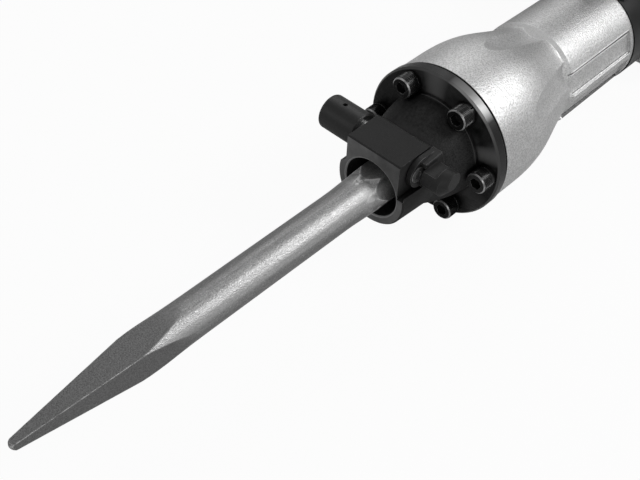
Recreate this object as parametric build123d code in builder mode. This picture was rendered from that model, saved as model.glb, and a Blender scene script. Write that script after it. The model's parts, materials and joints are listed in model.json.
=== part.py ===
"""Electric chipping hammer with a hexagon-shank point chisel, as an assembly of separate pieces.

The barrel lies along X with the chisel's tip towards -X. The flat top of the nose block faces +Z.
The retainer's knob and the motor are on the +Y side. Sizes are in millimetres.
Positions along the barrel are counted from the back face of the front cover's flange.
"""

import os
from math import acos, cos, pi, radians, sin, sqrt, tan

from build123d import *

os.makedirs("parts", exist_ok=True)

# Clearances
seat = 0.02  # radial, between pieces that are pressed or clamped together
run = 0.05  # radial, between a shaft and the bore that it turns or slides in
free = 0.4  # between faces of moving pieces that pass each other

# Chisel
hex_flats = 30.0
hex_play = 0.2
chisel_reach = 296.3  # nose face to tip
shank_depth = 103.7  # nose face to the end of the shank
chisel_radius = 14.0
chisel_travel = 15.0
point_length = 128.0
bulge_share = 0.695  # of the point's length, from the tip
tip_half_diagonal = 3.6
point_taper = 0.131

# Front cover
nose_length = 75.5
nose_radius = 29.6
nose_growth = 1.3
mouth_radius = 22.8
flange_radius = 58.8
flange_thickness = 8.0
flange_chamfer = 1.4
hub_radius = 40.1
hub_rise = 2.3
block_top = 33.0
block_half_width = 23.3
block_length = 30.5
pocket_length = 39.5
pocket_floor = 4.6
pocket_lip_offset = 5.3
pocket_lip_height = 2.8
shoulder_high = 12.0
shoulder_low = 4.0

# Retainer
retainer_back = 22.5  # from the nose face to the retainer's axis
retainer_height = 20.1
retainer_radius = 9.0
retainer_flat = 4.6
knob_radius = 13.0
knob_start = 28.5
knob_length = 32.0
knob_pin_radius = 1.75
arm_offset = 3.0
arm_radius = 12.0
plate_thickness = 3.9
boss_front = 5.5
boss_half_height = 10.2
boss_thickness = 4.4
stub_radius = 10.0
stub_half_flats = 6.3
stub_neck = 11.0
collar_length = 3.0
bevel_length = 5.0
stub_face_radius = 6.8
stub_face_offset = (1.6, 3.0)
spigot_radius = 5.0
spigot_length = 3.0
eyelet_radius = 6.0
eyelet_recess = 2.8
eyelet_shank = 2.5
eyelet_rise = 0.7

# Cover screws, M10
screw_circle = 48.5
screw_radius = 5.0
screw_head_radius = 8.0
screw_head_height = 10.0
screw_depth = 22.0
screw_count = 6
washer_thickness = 2.5
gasket_thickness = 1.6
gasket_recess = 1.8

# Striking parts
sleeve_radius = 24.0
sleeve_front = 30.0
sleeve_tail = 22.0
holder_radius = 36.0
holder_flange = 8.0
bolt_nose_radius = 12.0
bolt_collar_radius = 19.0
bolt_stem_radius = 13.0
bolt_nose_length = 17.5
bolt_collar_length = 12.0
bolt_stem_length = 24.0
damper_length = 8.0
cylinder_bore = 22.0
cylinder_wall = 6.0
striker_nose_radius = 14.0
striker_nose_length = 7.6
striker_body_length = 62.0
striker_room = 30.0
ring_width = 4.0
ring_depth = 2.5

# Crank drive
piston_crown = 26.0  # piston pin to front face
piston_skirt = 20.0  # piston pin to back edge
piston_pin_radius = 6.0
crank_radius = 20.0
rod_length = 80.0
rod_half_width = 7.0
crank_pin_radius = 7.0
big_end_radius = 13.0
web_radius = 30.0
web_thickness = 9.7
gear_module = 1.5
gear_teeth = 60
pinion_teeth = 12
pressure_angle = 25.0
backlash = 0.25
gear_width = 12.4

# Cylinder case
bell_radius = 57.9
bell_straight_length = 27.0
bell_foot_radius = 40.0
neck_start = 107.2
neck_radius = 42.3
neck_taper = 0.9
neck_ramp = 7.0  # length and rise of the slope up to the neck
panel_lead = 3.0
flute_radius = 25.0
flute_start = 44.0
flute_depth = 2.8
panel_depth = 1.9
panel_angle = 30.5
groove_width = 1.5
groove_depth = 1.4
rib_half_height = 3.0
band_start = 190.4
band_width = 27.2
band_seat_radius = 41.2
band_gap = 0.3
band_thickness = 1.6
case_flange_thickness = 10.0
case_flange_half = 48.0
case_bolt_offset = 37.0
case_bolt_radius = 4.0

# Crankcase and gear cover, positions along Y from the barrel's axis
crank_front = 49.5  # from the crankcase's front face to the crank's axis
case_top = -48.0
chamber_radius = 40.0
bearing_start = 19.2
bearing_width = 14.8
bearing_radius = 26.0
journal_radius = 12.5
gear_seat_radius = 11.0
gear_start = 36.8
gear_cover_start = 52.0
gear_cover_thickness = 16.0
end_bearing_radius = 20.0
end_bearing_width = 12.0
end_journal_radius = 8.5
crank_cover_thickness = 6.0
crank_cover_screw_circle = 44.7
crank_cover_radius = 49.0
m5_radius = 2.5
m6_radius = 3.0
thread_depth = 12.0  # of a screw in the piece that it is tapped into

# Motor, positions along Y from the barrel's axis
motor_radius = 52.0
motor_wall = 4.4
motor_flange_radius = 54.0
motor_flange_thickness = 8.0
motor_screw_circle = 58.0
motor_ear_radius = 8.0
motor_length = 132.0
tail_length = 32.0
tail_wall = 5.0
tail_screw_circle = 45.5
shaft_core_radius = 7.0
front_bearing_radius = 16.0
front_bearing_width = 10.0
front_journal_radius = 6.0
rear_bearing_radius = 15.0
rear_bearing_width = 9.0
rear_journal_radius = 5.0
core_radius = 26.0
core_length = 50.0
air_gap = 1.0
commutator_radius = 15.0
commutator_length = 20.0
fan_radius = 43.0
fan_width = 14.0
vent_count = 16
vent_width = 6.0
vent_length = 9.0
brush_side = 8.0
brush_length = 21.0
brush_holder_radius = 7.0

# Main handle
handle_depth = 118.0
handle_half_height = 18.0
handle_bar = 38.0
arm_width = 30.0
hand_gap_length = 160.0
grip_round = 9.0
tongue_half_height = 9.0
tongue_play = 0.25
switch_setback = 28.0  # from the hand gap's upper end to the switch
trigger_length = 40.0
trigger_half_height = 7.6
trigger_reach = 12.0
trigger_travel = 6.0
button_radius = 5.0
button_travel = 3.0
gland_radius = 9.0
cord_hole_radius = 4.6

# Side handle
lug_gap = 6.4
lug_thickness = 3.0
lug_height = 14.0
tee_radius = 3.0
stud_radius = 5.0
saddle_half_width = 22.0
saddle_length = 21.0
saddle_height = 64.0
side_grip_length = 122.0
side_grip_radius = 16.0

# Places along the barrel
tip_x = -(nose_length + chisel_reach)
shank_end = shank_depth - nose_length
retainer_x = retainer_back - nose_length
case_front = gasket_thickness
holder_end = case_front + holder_flange
bolt_front = shank_end + free
bolt_shoulder = bolt_front + bolt_nose_length
bolt_collar_end = bolt_shoulder + bolt_collar_length
bolt_end = bolt_collar_end + bolt_stem_length
guide_step = bolt_collar_end + 2 * free
guide_end = bolt_end - 6.0
damper_end = guide_end + damper_length
striker_front = bolt_end + free
striker_shoulder = striker_front + striker_nose_length
striker_end = striker_shoulder + striker_body_length
piston_front_dead = striker_end + striker_room
crank_x = piston_front_dead + piston_crown + rod_length + crank_radius
pin_x = crank_x + crank_radius - rod_length
piston_face = pin_x - piston_crown
piston_back = pin_x + piston_skirt
case_end = crank_x - crank_front
case_flange_start = case_end - case_flange_thickness
panel_end = band_start - 4.4
liner_end = case_end + 2.0
liner_radius = cylinder_bore + cylinder_wall
gear_distance = gear_module * (gear_teeth + pinion_teeth) / 2
motor_x = crank_x + gear_distance
crankcase_back = motor_x + 44.0
handle_front = crankcase_back + 2.0
handle_back = handle_front + handle_depth - 2.0
grip_front = handle_back - handle_bar
hex_corner = hex_flats / sqrt(3)

# Places across the barrel
motor_start = gear_cover_start + gear_cover_thickness
motor_end = motor_start + motor_length
tail_end = motor_end + tail_length
floor_drop = flange_radius
knob_end = knob_start + knob_length
hand_gap_start = case_top + 4.0 + arm_width
hand_gap_end = hand_gap_start + hand_gap_length
handle_low = hand_gap_end + arm_width

# The origin is the middle of the part's footprint, on the floor that it lies on
x0 = -(tip_x + handle_back) / 2
axis_y = -(tail_end - flange_radius) / 2
axis_z = floor_drop


def across(x):
    """Section plane at x: first axis +Y, second axis +Z, from the barrel's axis."""
    return Plane(origin=(x0 + x, axis_y, axis_z), x_dir=(0, 1, 0), z_dir=(1, 0, 0))


def upright(x, y, z=0.0):
    """Upright plane centred on a point: first axis +X, second axis +Z, facing -Y."""
    return Plane(origin=(x0 + x, axis_y + y, axis_z + z), x_dir=(1, 0, 0), z_dir=(0, -1, 0))


def beside(y):
    """Upright plane along the barrel at y, centred on the back face of the front cover."""
    return upright(0, y)


def level(z):
    """Flat plane at z: first axis +X, second axis +Y."""
    return Plane(origin=(x0, axis_y, axis_z + z))


def ring_profile(start, end, inner, outer):
    """Corner points of a ring's section: distance along the axis, then radius."""
    return [(start, inner), (end, inner), (end, outer), (start, outer)]


def ring_spots(radius, count, start_angle, middle=(0, 0)):
    """Points evenly spread on a circle round the middle."""
    angles = [radians(start_angle + 360 * index / count) for index in range(count)]
    return [(middle[0] + radius * cos(angle), middle[1] + radius * sin(angle)) for angle in angles]


def gear_outline(teeth, phase):
    """Outline of a spur gear: points up one flank of each tooth and down the other."""
    pitch = gear_module * teeth / 2
    base = pitch * cos(radians(pressure_angle))
    root = pitch - 1.25 * gear_module
    tip = pitch + gear_module
    start = max(base, root) + 0.01
    half = pi / (2 * teeth) - backlash / (2 * pitch)
    rolled = tan(radians(pressure_angle)) - radians(pressure_angle)
    radii = [root, start, (start + tip) / 2, tip]
    points = []
    for index in range(teeth):
        middle = radians(phase) + 2 * pi * index / teeth
        for side, flank in ((-1, radii), (1, radii[::-1])):
            for radius in flank:
                angle = acos(min(1.0, base / max(radius, base)))
                turn = middle + side * (half + rolled - (tan(angle) - angle))
                points.append((radius * cos(turn), radius * sin(turn)))
    return points


def cap_screws(seat_plane, spots, radius, head_radius, head_height, length):
    """Builds a group of cap screws: heads stand on the plane, shanks go down through it."""
    up = Axis(seat_plane.origin, seat_plane.z_dir)
    with BuildPart() as screws:
        with BuildSketch(seat_plane):
            with Locations(*spots):
                Circle(head_radius)
        extrude(amount=head_height)
        chamfer(screws.edges().group_by(up)[-1], head_radius * 0.11)
        with BuildSketch(seat_plane):
            with Locations(*spots):
                Circle(radius)
        extrude(amount=-length)
        with BuildSketch(seat_plane.offset(head_height)):
            with Locations(*spots):
                RegularPolygon(radius * 0.8, 6, major_radius=False)
        extrude(amount=-head_height * 0.55, mode=Mode.SUBTRACT)
    return screws


barrel = beside(0)
barrel_axis = Axis((x0, axis_y, axis_z), (1, 0, 0))
crank_axis = Axis((x0 + crank_x, axis_y, axis_z), (0, 1, 0))
motor_axis = Axis((x0 + motor_x, axis_y, axis_z), (0, 1, 0))
crank_section = across(crank_x)
motor_section = across(motor_x)

# Chisel: four-sided point, round shaft, hexagon shank with a notch for the retainer
flats_start = -nose_length - 8.5
hex_start = flats_start - 14.0
point_end = tip_x + point_length
bulge_x = tip_x + bulge_share * point_length
with BuildPart() as chisel:
    with BuildSketch(across(tip_x)):
        RegularPolygon(tip_half_diagonal, 4, rotation=45)
    with BuildSketch(across(point_end)):
        RegularPolygon(tip_half_diagonal + point_taper * point_length, 4, rotation=45)
    loft(ruled=True)
    with BuildSketch(across(point_end)):
        Circle(hex_corner + 2)
    extrude(amount=hex_start - point_end)
    with BuildSketch(across(hex_start)):
        RegularPolygon(hex_flats / 2, 6, major_radius=False)
    extrude(amount=shank_end - hex_start)
    with BuildSketch(barrel):
        with BuildLine():
            ThreePointArc(
                (tip_x, 0),
                (tip_x + 0.9, tip_half_diagonal * 0.65),
                (tip_x + 3.2, tip_half_diagonal + 0.6),
            )
            Line((tip_x + 3.2, tip_half_diagonal + 0.6), (bulge_x - 13, chisel_radius))
            Spline(
                (bulge_x - 13, chisel_radius),
                (bulge_x, chisel_radius + 0.8),
                (bulge_x + 21, chisel_radius + 0.4),
                (bulge_x + 46, chisel_radius),
                tangents=[(1, 0.12), (1, 0)],
            )
            Line((bulge_x + 46, chisel_radius), (hex_start - 14, chisel_radius))
            Spline(
                (hex_start - 14, chisel_radius),
                (flats_start, hex_flats / 2),
                tangents=[(1, 0), (1, 0.03)],
            )
            Polyline(
                (flats_start, hex_flats / 2),
                (flats_start + 8.8, hex_corner + 0.1),
                (shank_end - 3.5, hex_corner + 0.1),
                (shank_end, hex_flats / 2 - 1.5),
                (shank_end, 0),
                (tip_x, 0),
            )
        make_face()
    revolve(axis=barrel_axis, mode=Mode.INTERSECT)
    with BuildSketch(barrel):
        with Locations((retainer_x + chisel_travel / 2, retainer_height)):
            SlotCenterToCenter(chisel_travel, 2 * (retainer_radius + free))
    extrude(amount=hex_flats, both=True, mode=Mode.SUBTRACT)
chisel.part.label = "chisel"
export_step(chisel.part, "parts/chisel.step")

# Front cover: flange, dome and nose turned about the barrel, with the retainer's block on top
dome_end = block_length - nose_length
sleeve_seat_start = -sleeve_front - free
cover_screw_spots = ring_spots(screw_circle, screw_count, 0)
with BuildPart() as front_cover:
    with BuildSketch(barrel):
        with BuildLine():
            Polyline(
                (0, 0),
                (0, flange_radius),
                (flange_chamfer - flange_thickness, flange_radius),
                (-flange_thickness, flange_radius - flange_chamfer),
                (-flange_thickness, hub_radius + 0.1),
                (-flange_thickness - hub_rise, hub_radius),
            )
            ThreePointArc(
                (-flange_thickness - hub_rise, hub_radius),
                ((dome_end - flange_thickness) / 2, hub_radius - 3.2),
                (dome_end + 2, nose_radius + nose_growth),
            )
            Polyline(
                (dome_end + 2, nose_radius + nose_growth),
                (1 - nose_length, nose_radius),
                (-nose_length, nose_radius - 1),
                (-nose_length, 0),
                (0, 0),
            )
        make_face()
    revolve(axis=barrel_axis)
    with BuildSketch(barrel):
        Polygon(
            (-nose_length, 0),
            (-nose_length, block_top - 1),
            (1 - nose_length, block_top),
            (dome_end, block_top),
            (dome_end + 7, block_top - 6),
            (dome_end + 7, 0),
            align=None,
        )
    extrude(amount=block_half_width, both=True)
    with BuildSketch(across(-nose_length - 1)):
        Polygon(
            (-block_half_width, pocket_floor),
            (-block_half_width - pocket_lip_offset, pocket_floor),
            (-block_half_width - pocket_lip_offset, pocket_floor + pocket_lip_height),
            (-2 * block_half_width, pocket_floor + pocket_lip_height),
            (-2 * block_half_width, 2 * block_top),
            (-block_half_width, 2 * block_top),
            align=None,
        )
    extrude(amount=pocket_length + 1, mode=Mode.SUBTRACT)
    with BuildSketch(across(-nose_length - 1)):
        Polygon(
            (block_half_width, shoulder_high),
            (nose_radius + 2, shoulder_low),
            (2 * block_half_width, shoulder_low),
            (2 * block_half_width, 2 * block_top),
            (block_half_width, 2 * block_top),
            align=None,
        )
    extrude(amount=block_length + 7, mode=Mode.SUBTRACT)
    with BuildSketch(barrel):
        Polygon(
            (-nose_length - 1, 0),
            (-nose_length - 1, mouth_radius + 1.8),
            (0.8 - nose_length, mouth_radius),
            (sleeve_seat_start, mouth_radius),
            (sleeve_seat_start, sleeve_radius + seat),
            (1, sleeve_radius + seat),
            (1, 0),
            align=None,
        )
    revolve(axis=barrel_axis, mode=Mode.SUBTRACT)
    with BuildSketch(upright(retainer_x, 0, retainer_height)):
        Circle(retainer_radius + run)
    extrude(amount=2 * block_half_width, both=True, mode=Mode.SUBTRACT)
    with BuildSketch(across(0)):
        with Locations(*cover_screw_spots):
            Circle(screw_radius + free)
    extrude(amount=-flange_thickness - 12, mode=Mode.SUBTRACT)
front_cover.part.label = "front_cover"
export_step(front_cover.part, "parts/front_cover.step")

# Cap screws and spring washers in the front cover's flange
head_back = -flange_thickness - washer_thickness
front_cover_screws = cap_screws(
    -across(head_back),
    cover_screw_spots,
    screw_radius,
    screw_head_radius,
    screw_head_height,
    screw_depth - head_back,
)
front_cover_screws.part.label = "front_cover_screws"
export_step(front_cover_screws.part, "parts/front_cover_screws.step")

with BuildPart() as spring_washers:
    with BuildSketch(across(-flange_thickness)):
        with Locations(*cover_screw_spots):
            Circle(screw_head_radius)
            Circle(screw_radius + free, mode=Mode.SUBTRACT)
        with PolarLocations(screw_circle + screw_head_radius - 1.4, screw_count):
            Rectangle(4.6, 1.0, mode=Mode.SUBTRACT)
    extrude(amount=-washer_thickness)
spring_washers.part.label = "spring_washers"
export_step(spring_washers.part, "parts/spring_washers.step")

with BuildPart() as cover_gasket:
    with BuildSketch(across(0)):
        Circle(bell_radius - gasket_recess)
        Circle(holder_radius + free, mode=Mode.SUBTRACT)
        with Locations(*cover_screw_spots):
            Circle(screw_radius + free, mode=Mode.SUBTRACT)
    extrude(amount=gasket_thickness)
cover_gasket.part.label = "cover_gasket"
export_step(cover_gasket.part, "parts/cover_gasket.step")

# Retainer: a cross shaft with a flat that lets the chisel out when the shaft is turned half round
plate_start = -block_half_width - free
boss_start = plate_start - plate_thickness
stub_start = boss_start - boss_thickness
bevel_start = stub_start - stub_neck - collar_length
shaft_end = knob_end - 4.0
knob_pin_spot = (retainer_x, (knob_start + knob_end) / 2 + 1.6)
with BuildPart() as retainer_shaft:
    with BuildSketch(upright(retainer_x, shaft_end, retainer_height)):
        Circle(retainer_radius)
    extrude(amount=shaft_end - plate_start)
    with BuildSketch(upright(retainer_x, plate_start, retainer_height)):
        Circle(spigot_radius)
    extrude(amount=spigot_length)
    with BuildSketch(upright(retainer_x, 0, retainer_height + retainer_flat + retainer_radius)):
        Rectangle(3 * retainer_radius, 2 * retainer_radius)
    extrude(amount=block_half_width - 4, both=True, mode=Mode.SUBTRACT)
    with BuildSketch(level(retainer_height)):
        with Locations(knob_pin_spot):
            Circle(knob_pin_radius + seat)
    extrude(amount=2 * retainer_radius, both=True, mode=Mode.SUBTRACT)
retainer_shaft.part.label = "retainer_shaft"
export_step(retainer_shaft.part, "parts/retainer_shaft.step")

with BuildPart() as retainer_knob:
    with BuildSketch(upright(retainer_x, knob_end, retainer_height)):
        Circle(knob_radius)
    extrude(amount=knob_length)
    fillet(retainer_knob.faces().sort_by(Axis.Y)[-1].edges(), 2.5)
    chamfer(retainer_knob.faces().sort_by(Axis.Y)[0].edges(), 0.8)
    with BuildSketch(upright(retainer_x, shaft_end, retainer_height)):
        Circle(retainer_radius + seat)
    extrude(amount=knob_length, mode=Mode.SUBTRACT)
    with BuildSketch(level(retainer_height)):
        with Locations(knob_pin_spot):
            Circle(knob_pin_radius + seat)
    extrude(amount=2 * knob_radius, both=True, mode=Mode.SUBTRACT)
retainer_knob.part.label = "retainer_knob"
export_step(retainer_knob.part, "parts/retainer_knob.step")

with BuildPart() as knob_pin:
    with BuildSketch(level(retainer_height)):
        with Locations(knob_pin_spot):
            Circle(knob_pin_radius)
    extrude(amount=knob_radius - 2.5, both=True)
knob_pin.part.label = "knob_pin"
export_step(knob_pin.part, "parts/knob_pin.step")

# Retainer arm: a plate with a round front, a raised boss behind it and a flatted stub to turn it by
arm_tail = [(11.5, 11.6), (15.7, 0.6), (13.0, -9.0), (5.0, -11.0)]
eyelet_spot = (-arm_offset - 5.2, 1.0)
with BuildPart() as retainer_arm:
    with BuildSketch(upright(retainer_x, plate_start, retainer_height)):
        with Locations((-arm_offset, 0)):
            Circle(arm_radius)
        Polygon((-arm_offset, arm_radius), *arm_tail, (-arm_offset, -arm_radius), align=None)
        with Locations(eyelet_spot):
            Circle(eyelet_shank + seat, mode=Mode.SUBTRACT)
    extrude(amount=plate_thickness)
    with BuildSketch(upright(retainer_x, boss_start, retainer_height)):
        Polygon((-boss_front, boss_half_height), *arm_tail, (-boss_front, -boss_half_height), align=None)
        with Locations(eyelet_spot):
            Circle(eyelet_radius + free, mode=Mode.SUBTRACT)
    extrude(amount=boss_thickness)
    chamfer(retainer_arm.faces().sort_by(Axis.Y)[0].edges(), 0.6)
    with BuildSketch(upright(retainer_x, stub_start, retainer_height)):
        Circle(stub_radius)
    extrude(amount=stub_neck + collar_length)
    with BuildSketch(upright(retainer_x, bevel_start, retainer_height)):
        Circle(stub_radius)
    with BuildSketch(upright(retainer_x, bevel_start - bevel_length, retainer_height)):
        with Locations(stub_face_offset):
            Circle(stub_face_radius)
    loft(ruled=True)
    chamfer(retainer_arm.faces().sort_by(Axis.Y)[0].edges(), 0.5)
    with BuildSketch(upright(retainer_x, stub_start, retainer_height)):
        Circle(2 * stub_radius)
        Rectangle(5 * stub_radius, 2 * stub_half_flats, mode=Mode.SUBTRACT)
    extrude(amount=stub_neck, mode=Mode.SUBTRACT)
    with BuildSketch(upright(retainer_x, plate_start, retainer_height)):
        Circle(spigot_radius + seat)
    extrude(amount=spigot_length + free, mode=Mode.SUBTRACT)
retainer_arm.part.label = "retainer_arm"
export_step(retainer_arm.part, "parts/retainer_arm.step")

with BuildPart() as arm_pin:
    with BuildSketch(upright(retainer_x, boss_start, retainer_height)):
        with Locations(eyelet_spot):
            Circle(eyelet_radius)
    extrude(amount=eyelet_rise)
    with BuildSketch(upright(retainer_x, boss_start, retainer_height)):
        with Locations(eyelet_spot):
            Circle(eyelet_shank)
    extrude(amount=-plate_thickness)
    with BuildSketch(upright(retainer_x, boss_start - eyelet_rise, retainer_height)):
        with Locations(eyelet_spot):
            Circle(eyelet_recess)
    extrude(amount=-eyelet_rise * 0.6, mode=Mode.SUBTRACT)
arm_pin.part.label = "arm_pin"
export_step(arm_pin.part, "parts/arm_pin.step")

# Guide sleeve for the hexagon shank, clamped between front cover and cylinder case
with BuildPart() as tool_sleeve:
    with BuildSketch(barrel):
        Polygon(
            (-sleeve_front, 0),
            (-sleeve_front, sleeve_radius),
            (seat, sleeve_radius),
            (seat, holder_radius),
            (holder_end, holder_radius),
            (holder_end, sleeve_radius),
            (sleeve_tail, sleeve_radius),
            (sleeve_tail, 0),
            align=None,
        )
    revolve(axis=barrel_axis)
    with BuildSketch(across(-sleeve_front)):
        RegularPolygon(hex_flats / 2 + hex_play, 6, major_radius=False)
    extrude(amount=sleeve_front + sleeve_tail, mode=Mode.SUBTRACT)
tool_sleeve.part.label = "tool_sleeve"
export_step(tool_sleeve.part, "parts/tool_sleeve.step")

with BuildPart() as impact_bolt:
    with BuildSketch(barrel):
        Polygon(
            (bolt_front, 0),
            (bolt_front, bolt_nose_radius - 1),
            (bolt_front + 1, bolt_nose_radius),
            (bolt_shoulder, bolt_nose_radius),
            (bolt_shoulder, bolt_collar_radius - 2),
            (bolt_shoulder + 2, bolt_collar_radius),
            (bolt_collar_end, bolt_collar_radius),
            (bolt_collar_end, bolt_stem_radius),
            (bolt_end - 1, bolt_stem_radius),
            (bolt_end, bolt_stem_radius - 1),
            (bolt_end, 0),
            align=None,
        )
    revolve(axis=barrel_axis)
impact_bolt.part.label = "impact_bolt"
export_step(impact_bolt.part, "parts/impact_bolt.step")

with BuildPart() as impact_guide:
    with BuildSketch(barrel):
        Polygon(
            (holder_end + seat, sleeve_radius + free),
            (holder_end + seat, holder_radius),
            (guide_end, holder_radius),
            (guide_end, bolt_stem_radius + run),
            (guide_step, bolt_stem_radius + run),
            (guide_step, bolt_collar_radius + run),
            (sleeve_tail + 2, bolt_collar_radius + run),
            (sleeve_tail + 2, sleeve_radius + free),
            align=None,
        )
    revolve(axis=barrel_axis)
impact_guide.part.label = "impact_guide"
export_step(impact_guide.part, "parts/impact_guide.step")

with BuildPart() as damper_ring:
    with BuildSketch(barrel):
        Polygon(
            *ring_profile(guide_end + seat, damper_end, striker_nose_radius + 2, holder_radius),
            align=None,
        )
    revolve(axis=barrel_axis)
damper_ring.part.label = "damper_ring"
export_step(damper_ring.part, "parts/damper_ring.step")

# Cylinder case: cast bell with scooped shoulders, ribbed neck, seat for the side handle and rear flange
case_bolt_spots = ring_spots(case_bolt_offset * sqrt(2), 4, 45)
bell_slope = neck_start - bell_straight_length
bell_drop = bell_radius - bell_foot_radius
bell_curve = [(0.262, 0.078), (0.387, 0.187), (0.586, 0.462), (0.785, 0.753), (0.885, 0.880)]
flute_foot = bell_foot_radius - flute_depth
flute_tilt = (bell_radius - flute_foot) / (neck_start - flute_start)


def flute_plane(angle):
    """Plane across a flute where it leaves the bell's straight part: its normal runs down the flute."""
    radius = bell_radius + flute_radius
    place = (x0 + flute_start, axis_y + radius * cos(angle), axis_z + radius * sin(angle))
    return Plane(origin=place, z_dir=(1, -flute_tilt * cos(angle), -flute_tilt * sin(angle)))


def panel_section(side_y, side_z):
    """Corners of one side panel's section: a groove under the neck's surface, then a flat face to the rib."""
    turn = radians(panel_angle)
    out = (side_y * cos(turn), side_z * sin(turn))
    down = (side_y * sin(turn), -side_z * cos(turn))
    steps = [
        (neck_radius + 4, 0),
        (neck_radius - panel_depth - groove_depth, 0),
        (neck_radius - panel_depth - groove_depth, groove_width),
        (neck_radius - panel_depth, groove_width),
    ]
    corners = [(rise * out[0] + along * down[0], rise * out[1] + along * down[1]) for rise, along in steps]
    return corners + [
        (side_y * (neck_radius - panel_depth), side_z * rib_half_height),
        (side_y * 1.5 * neck_radius, side_z * rib_half_height),
    ]


with BuildPart() as cylinder_case:
    with BuildSketch(barrel):
        with BuildLine():
            Polyline(
                (case_front, 0),
                (case_front, bell_radius - 0.8),
                (case_front + 0.8, bell_radius),
                (bell_straight_length, bell_radius),
            )
            Spline(
                (bell_straight_length, bell_radius),
                *[(bell_straight_length + share * bell_slope, bell_radius - fall * bell_drop)
                  for share, fall in bell_curve],
                (neck_start, bell_foot_radius),
                tangents=[(1, 0), (1, -0.2)],
            )
            Polyline((neck_start, bell_foot_radius), (neck_start, 0), (case_front, 0))
        make_face()
    revolve(axis=barrel_axis)
    for flute in range(screw_count):
        with BuildSketch(flute_plane(2 * pi * (flute + 0.5) / screw_count)):
            Circle(flute_radius)
        extrude(amount=2 * bell_slope, both=True, mode=Mode.SUBTRACT)
    with BuildSketch(barrel):
        Polygon(
            (neck_start - neck_ramp, 0),
            (neck_start - neck_ramp, neck_radius + neck_taper - neck_ramp),
            (neck_start, neck_radius + neck_taper),
            (band_start - 0.6, neck_radius),
            (band_start - 0.6, band_seat_radius),
            (band_start + band_width + 0.6, band_seat_radius),
            (band_start + band_width + 0.6, neck_radius),
            (case_end, neck_radius),
            (case_end, 0),
            align=None,
        )
    revolve(axis=barrel_axis)
    with BuildSketch(across(case_flange_start)):
        RectangleRounded(2 * case_flange_half, 2 * case_flange_half, 14)
    extrude(amount=case_flange_thickness)
    with BuildSketch(across(neck_start - panel_lead)):
        for side_y in (-1, 1):
            for side_z in (-1, 1):
                Polygon(*panel_section(side_y, side_z), align=None)
    extrude(amount=panel_end - neck_start + panel_lead, mode=Mode.SUBTRACT)
    with BuildSketch(barrel):
        Polygon(
            (case_front - 1, 0),
            (case_front - 1, holder_radius + seat),
            (damper_end, holder_radius + seat),
            (damper_end, liner_radius + seat),
            (case_end + 1, liner_radius + seat),
            (case_end + 1, 0),
            align=None,
        )
    revolve(axis=barrel_axis, mode=Mode.SUBTRACT)
    with BuildSketch(across(case_front)):
        with Locations(*cover_screw_spots):
            Circle(screw_radius + seat)
    extrude(amount=screw_depth + 2, mode=Mode.SUBTRACT)
    with BuildSketch(across(case_end)):
        with Locations(*case_bolt_spots):
            Circle(case_bolt_radius + free)
    extrude(amount=-case_flange_thickness, mode=Mode.SUBTRACT)
cylinder_case.part.label = "cylinder_case"
export_step(cylinder_case.part, "parts/cylinder_case.step")

case_bolts = cap_screws(
    -across(case_flange_start),
    case_bolt_spots,
    case_bolt_radius,
    case_bolt_radius * 1.6,
    2 * case_bolt_radius,
    case_flange_thickness + 14,
)
case_bolts.part.label = "case_bolts"
export_step(case_bolts.part, "parts/case_bolts.step")

# Cylinder with its striker and piston
with BuildPart() as cylinder_liner:
    with BuildSketch(barrel):
        Polygon(*ring_profile(damper_end + seat, liner_end, cylinder_bore, liner_radius), align=None)
    revolve(axis=barrel_axis)
    with Locations(across(striker_end + striker_room / 2)):
        with PolarLocations(cylinder_bore + cylinder_wall / 2, 6):
            Cylinder(2.0, 3 * cylinder_wall, rotation=(0, 90, 0), mode=Mode.SUBTRACT)
cylinder_liner.part.label = "cylinder_liner"
export_step(cylinder_liner.part, "parts/cylinder_liner.step")

slide_radius = cylinder_bore - run
striker_groove = striker_end - 14.0
with BuildPart() as striker:
    with BuildSketch(barrel):
        Polygon(
            (striker_front, 0),
            (striker_front, striker_nose_radius - 1),
            (striker_front + 1, striker_nose_radius),
            (striker_shoulder, striker_nose_radius),
            (striker_shoulder, slide_radius - 1),
            (striker_shoulder + 1, slide_radius),
            (striker_groove, slide_radius),
            (striker_groove, slide_radius - ring_depth),
            (striker_groove + ring_width, slide_radius - ring_depth),
            (striker_groove + ring_width, slide_radius),
            (striker_end - 1, slide_radius),
            (striker_end, slide_radius - 1),
            (striker_end, 0),
            align=None,
        )
    revolve(axis=barrel_axis)
striker.part.label = "striker"
export_step(striker.part, "parts/striker.step")

with BuildPart() as striker_ring:
    with BuildSketch(barrel):
        Polygon(
            *ring_profile(
                striker_groove + seat,
                striker_groove + ring_width - seat,
                slide_radius - ring_depth + seat,
                slide_radius,
            ),
            align=None,
        )
    revolve(axis=barrel_axis)
striker_ring.part.label = "striker_ring"
export_step(striker_ring.part, "parts/striker_ring.step")

piston_groove = piston_face + 5.0
piston_hollow = cylinder_bore - 6.5
with BuildPart() as piston:
    with BuildSketch(barrel):
        Polygon(
            (piston_face, 0),
            (piston_face, slide_radius - 1),
            (piston_face + 1, slide_radius),
            (piston_groove, slide_radius),
            (piston_groove, slide_radius - ring_depth),
            (piston_groove + ring_width, slide_radius - ring_depth),
            (piston_groove + ring_width, slide_radius),
            (piston_back, slide_radius),
            (piston_back, piston_hollow),
            (piston_face + 12, piston_hollow),
            (piston_face + 12, 0),
            align=None,
        )
    revolve(axis=barrel_axis)
    with BuildSketch(barrel):
        with Locations((pin_x, 0)):
            Circle(piston_pin_radius + seat)
    extrude(amount=2 * cylinder_bore, both=True, mode=Mode.SUBTRACT)
piston.part.label = "piston"
export_step(piston.part, "parts/piston.step")

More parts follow.
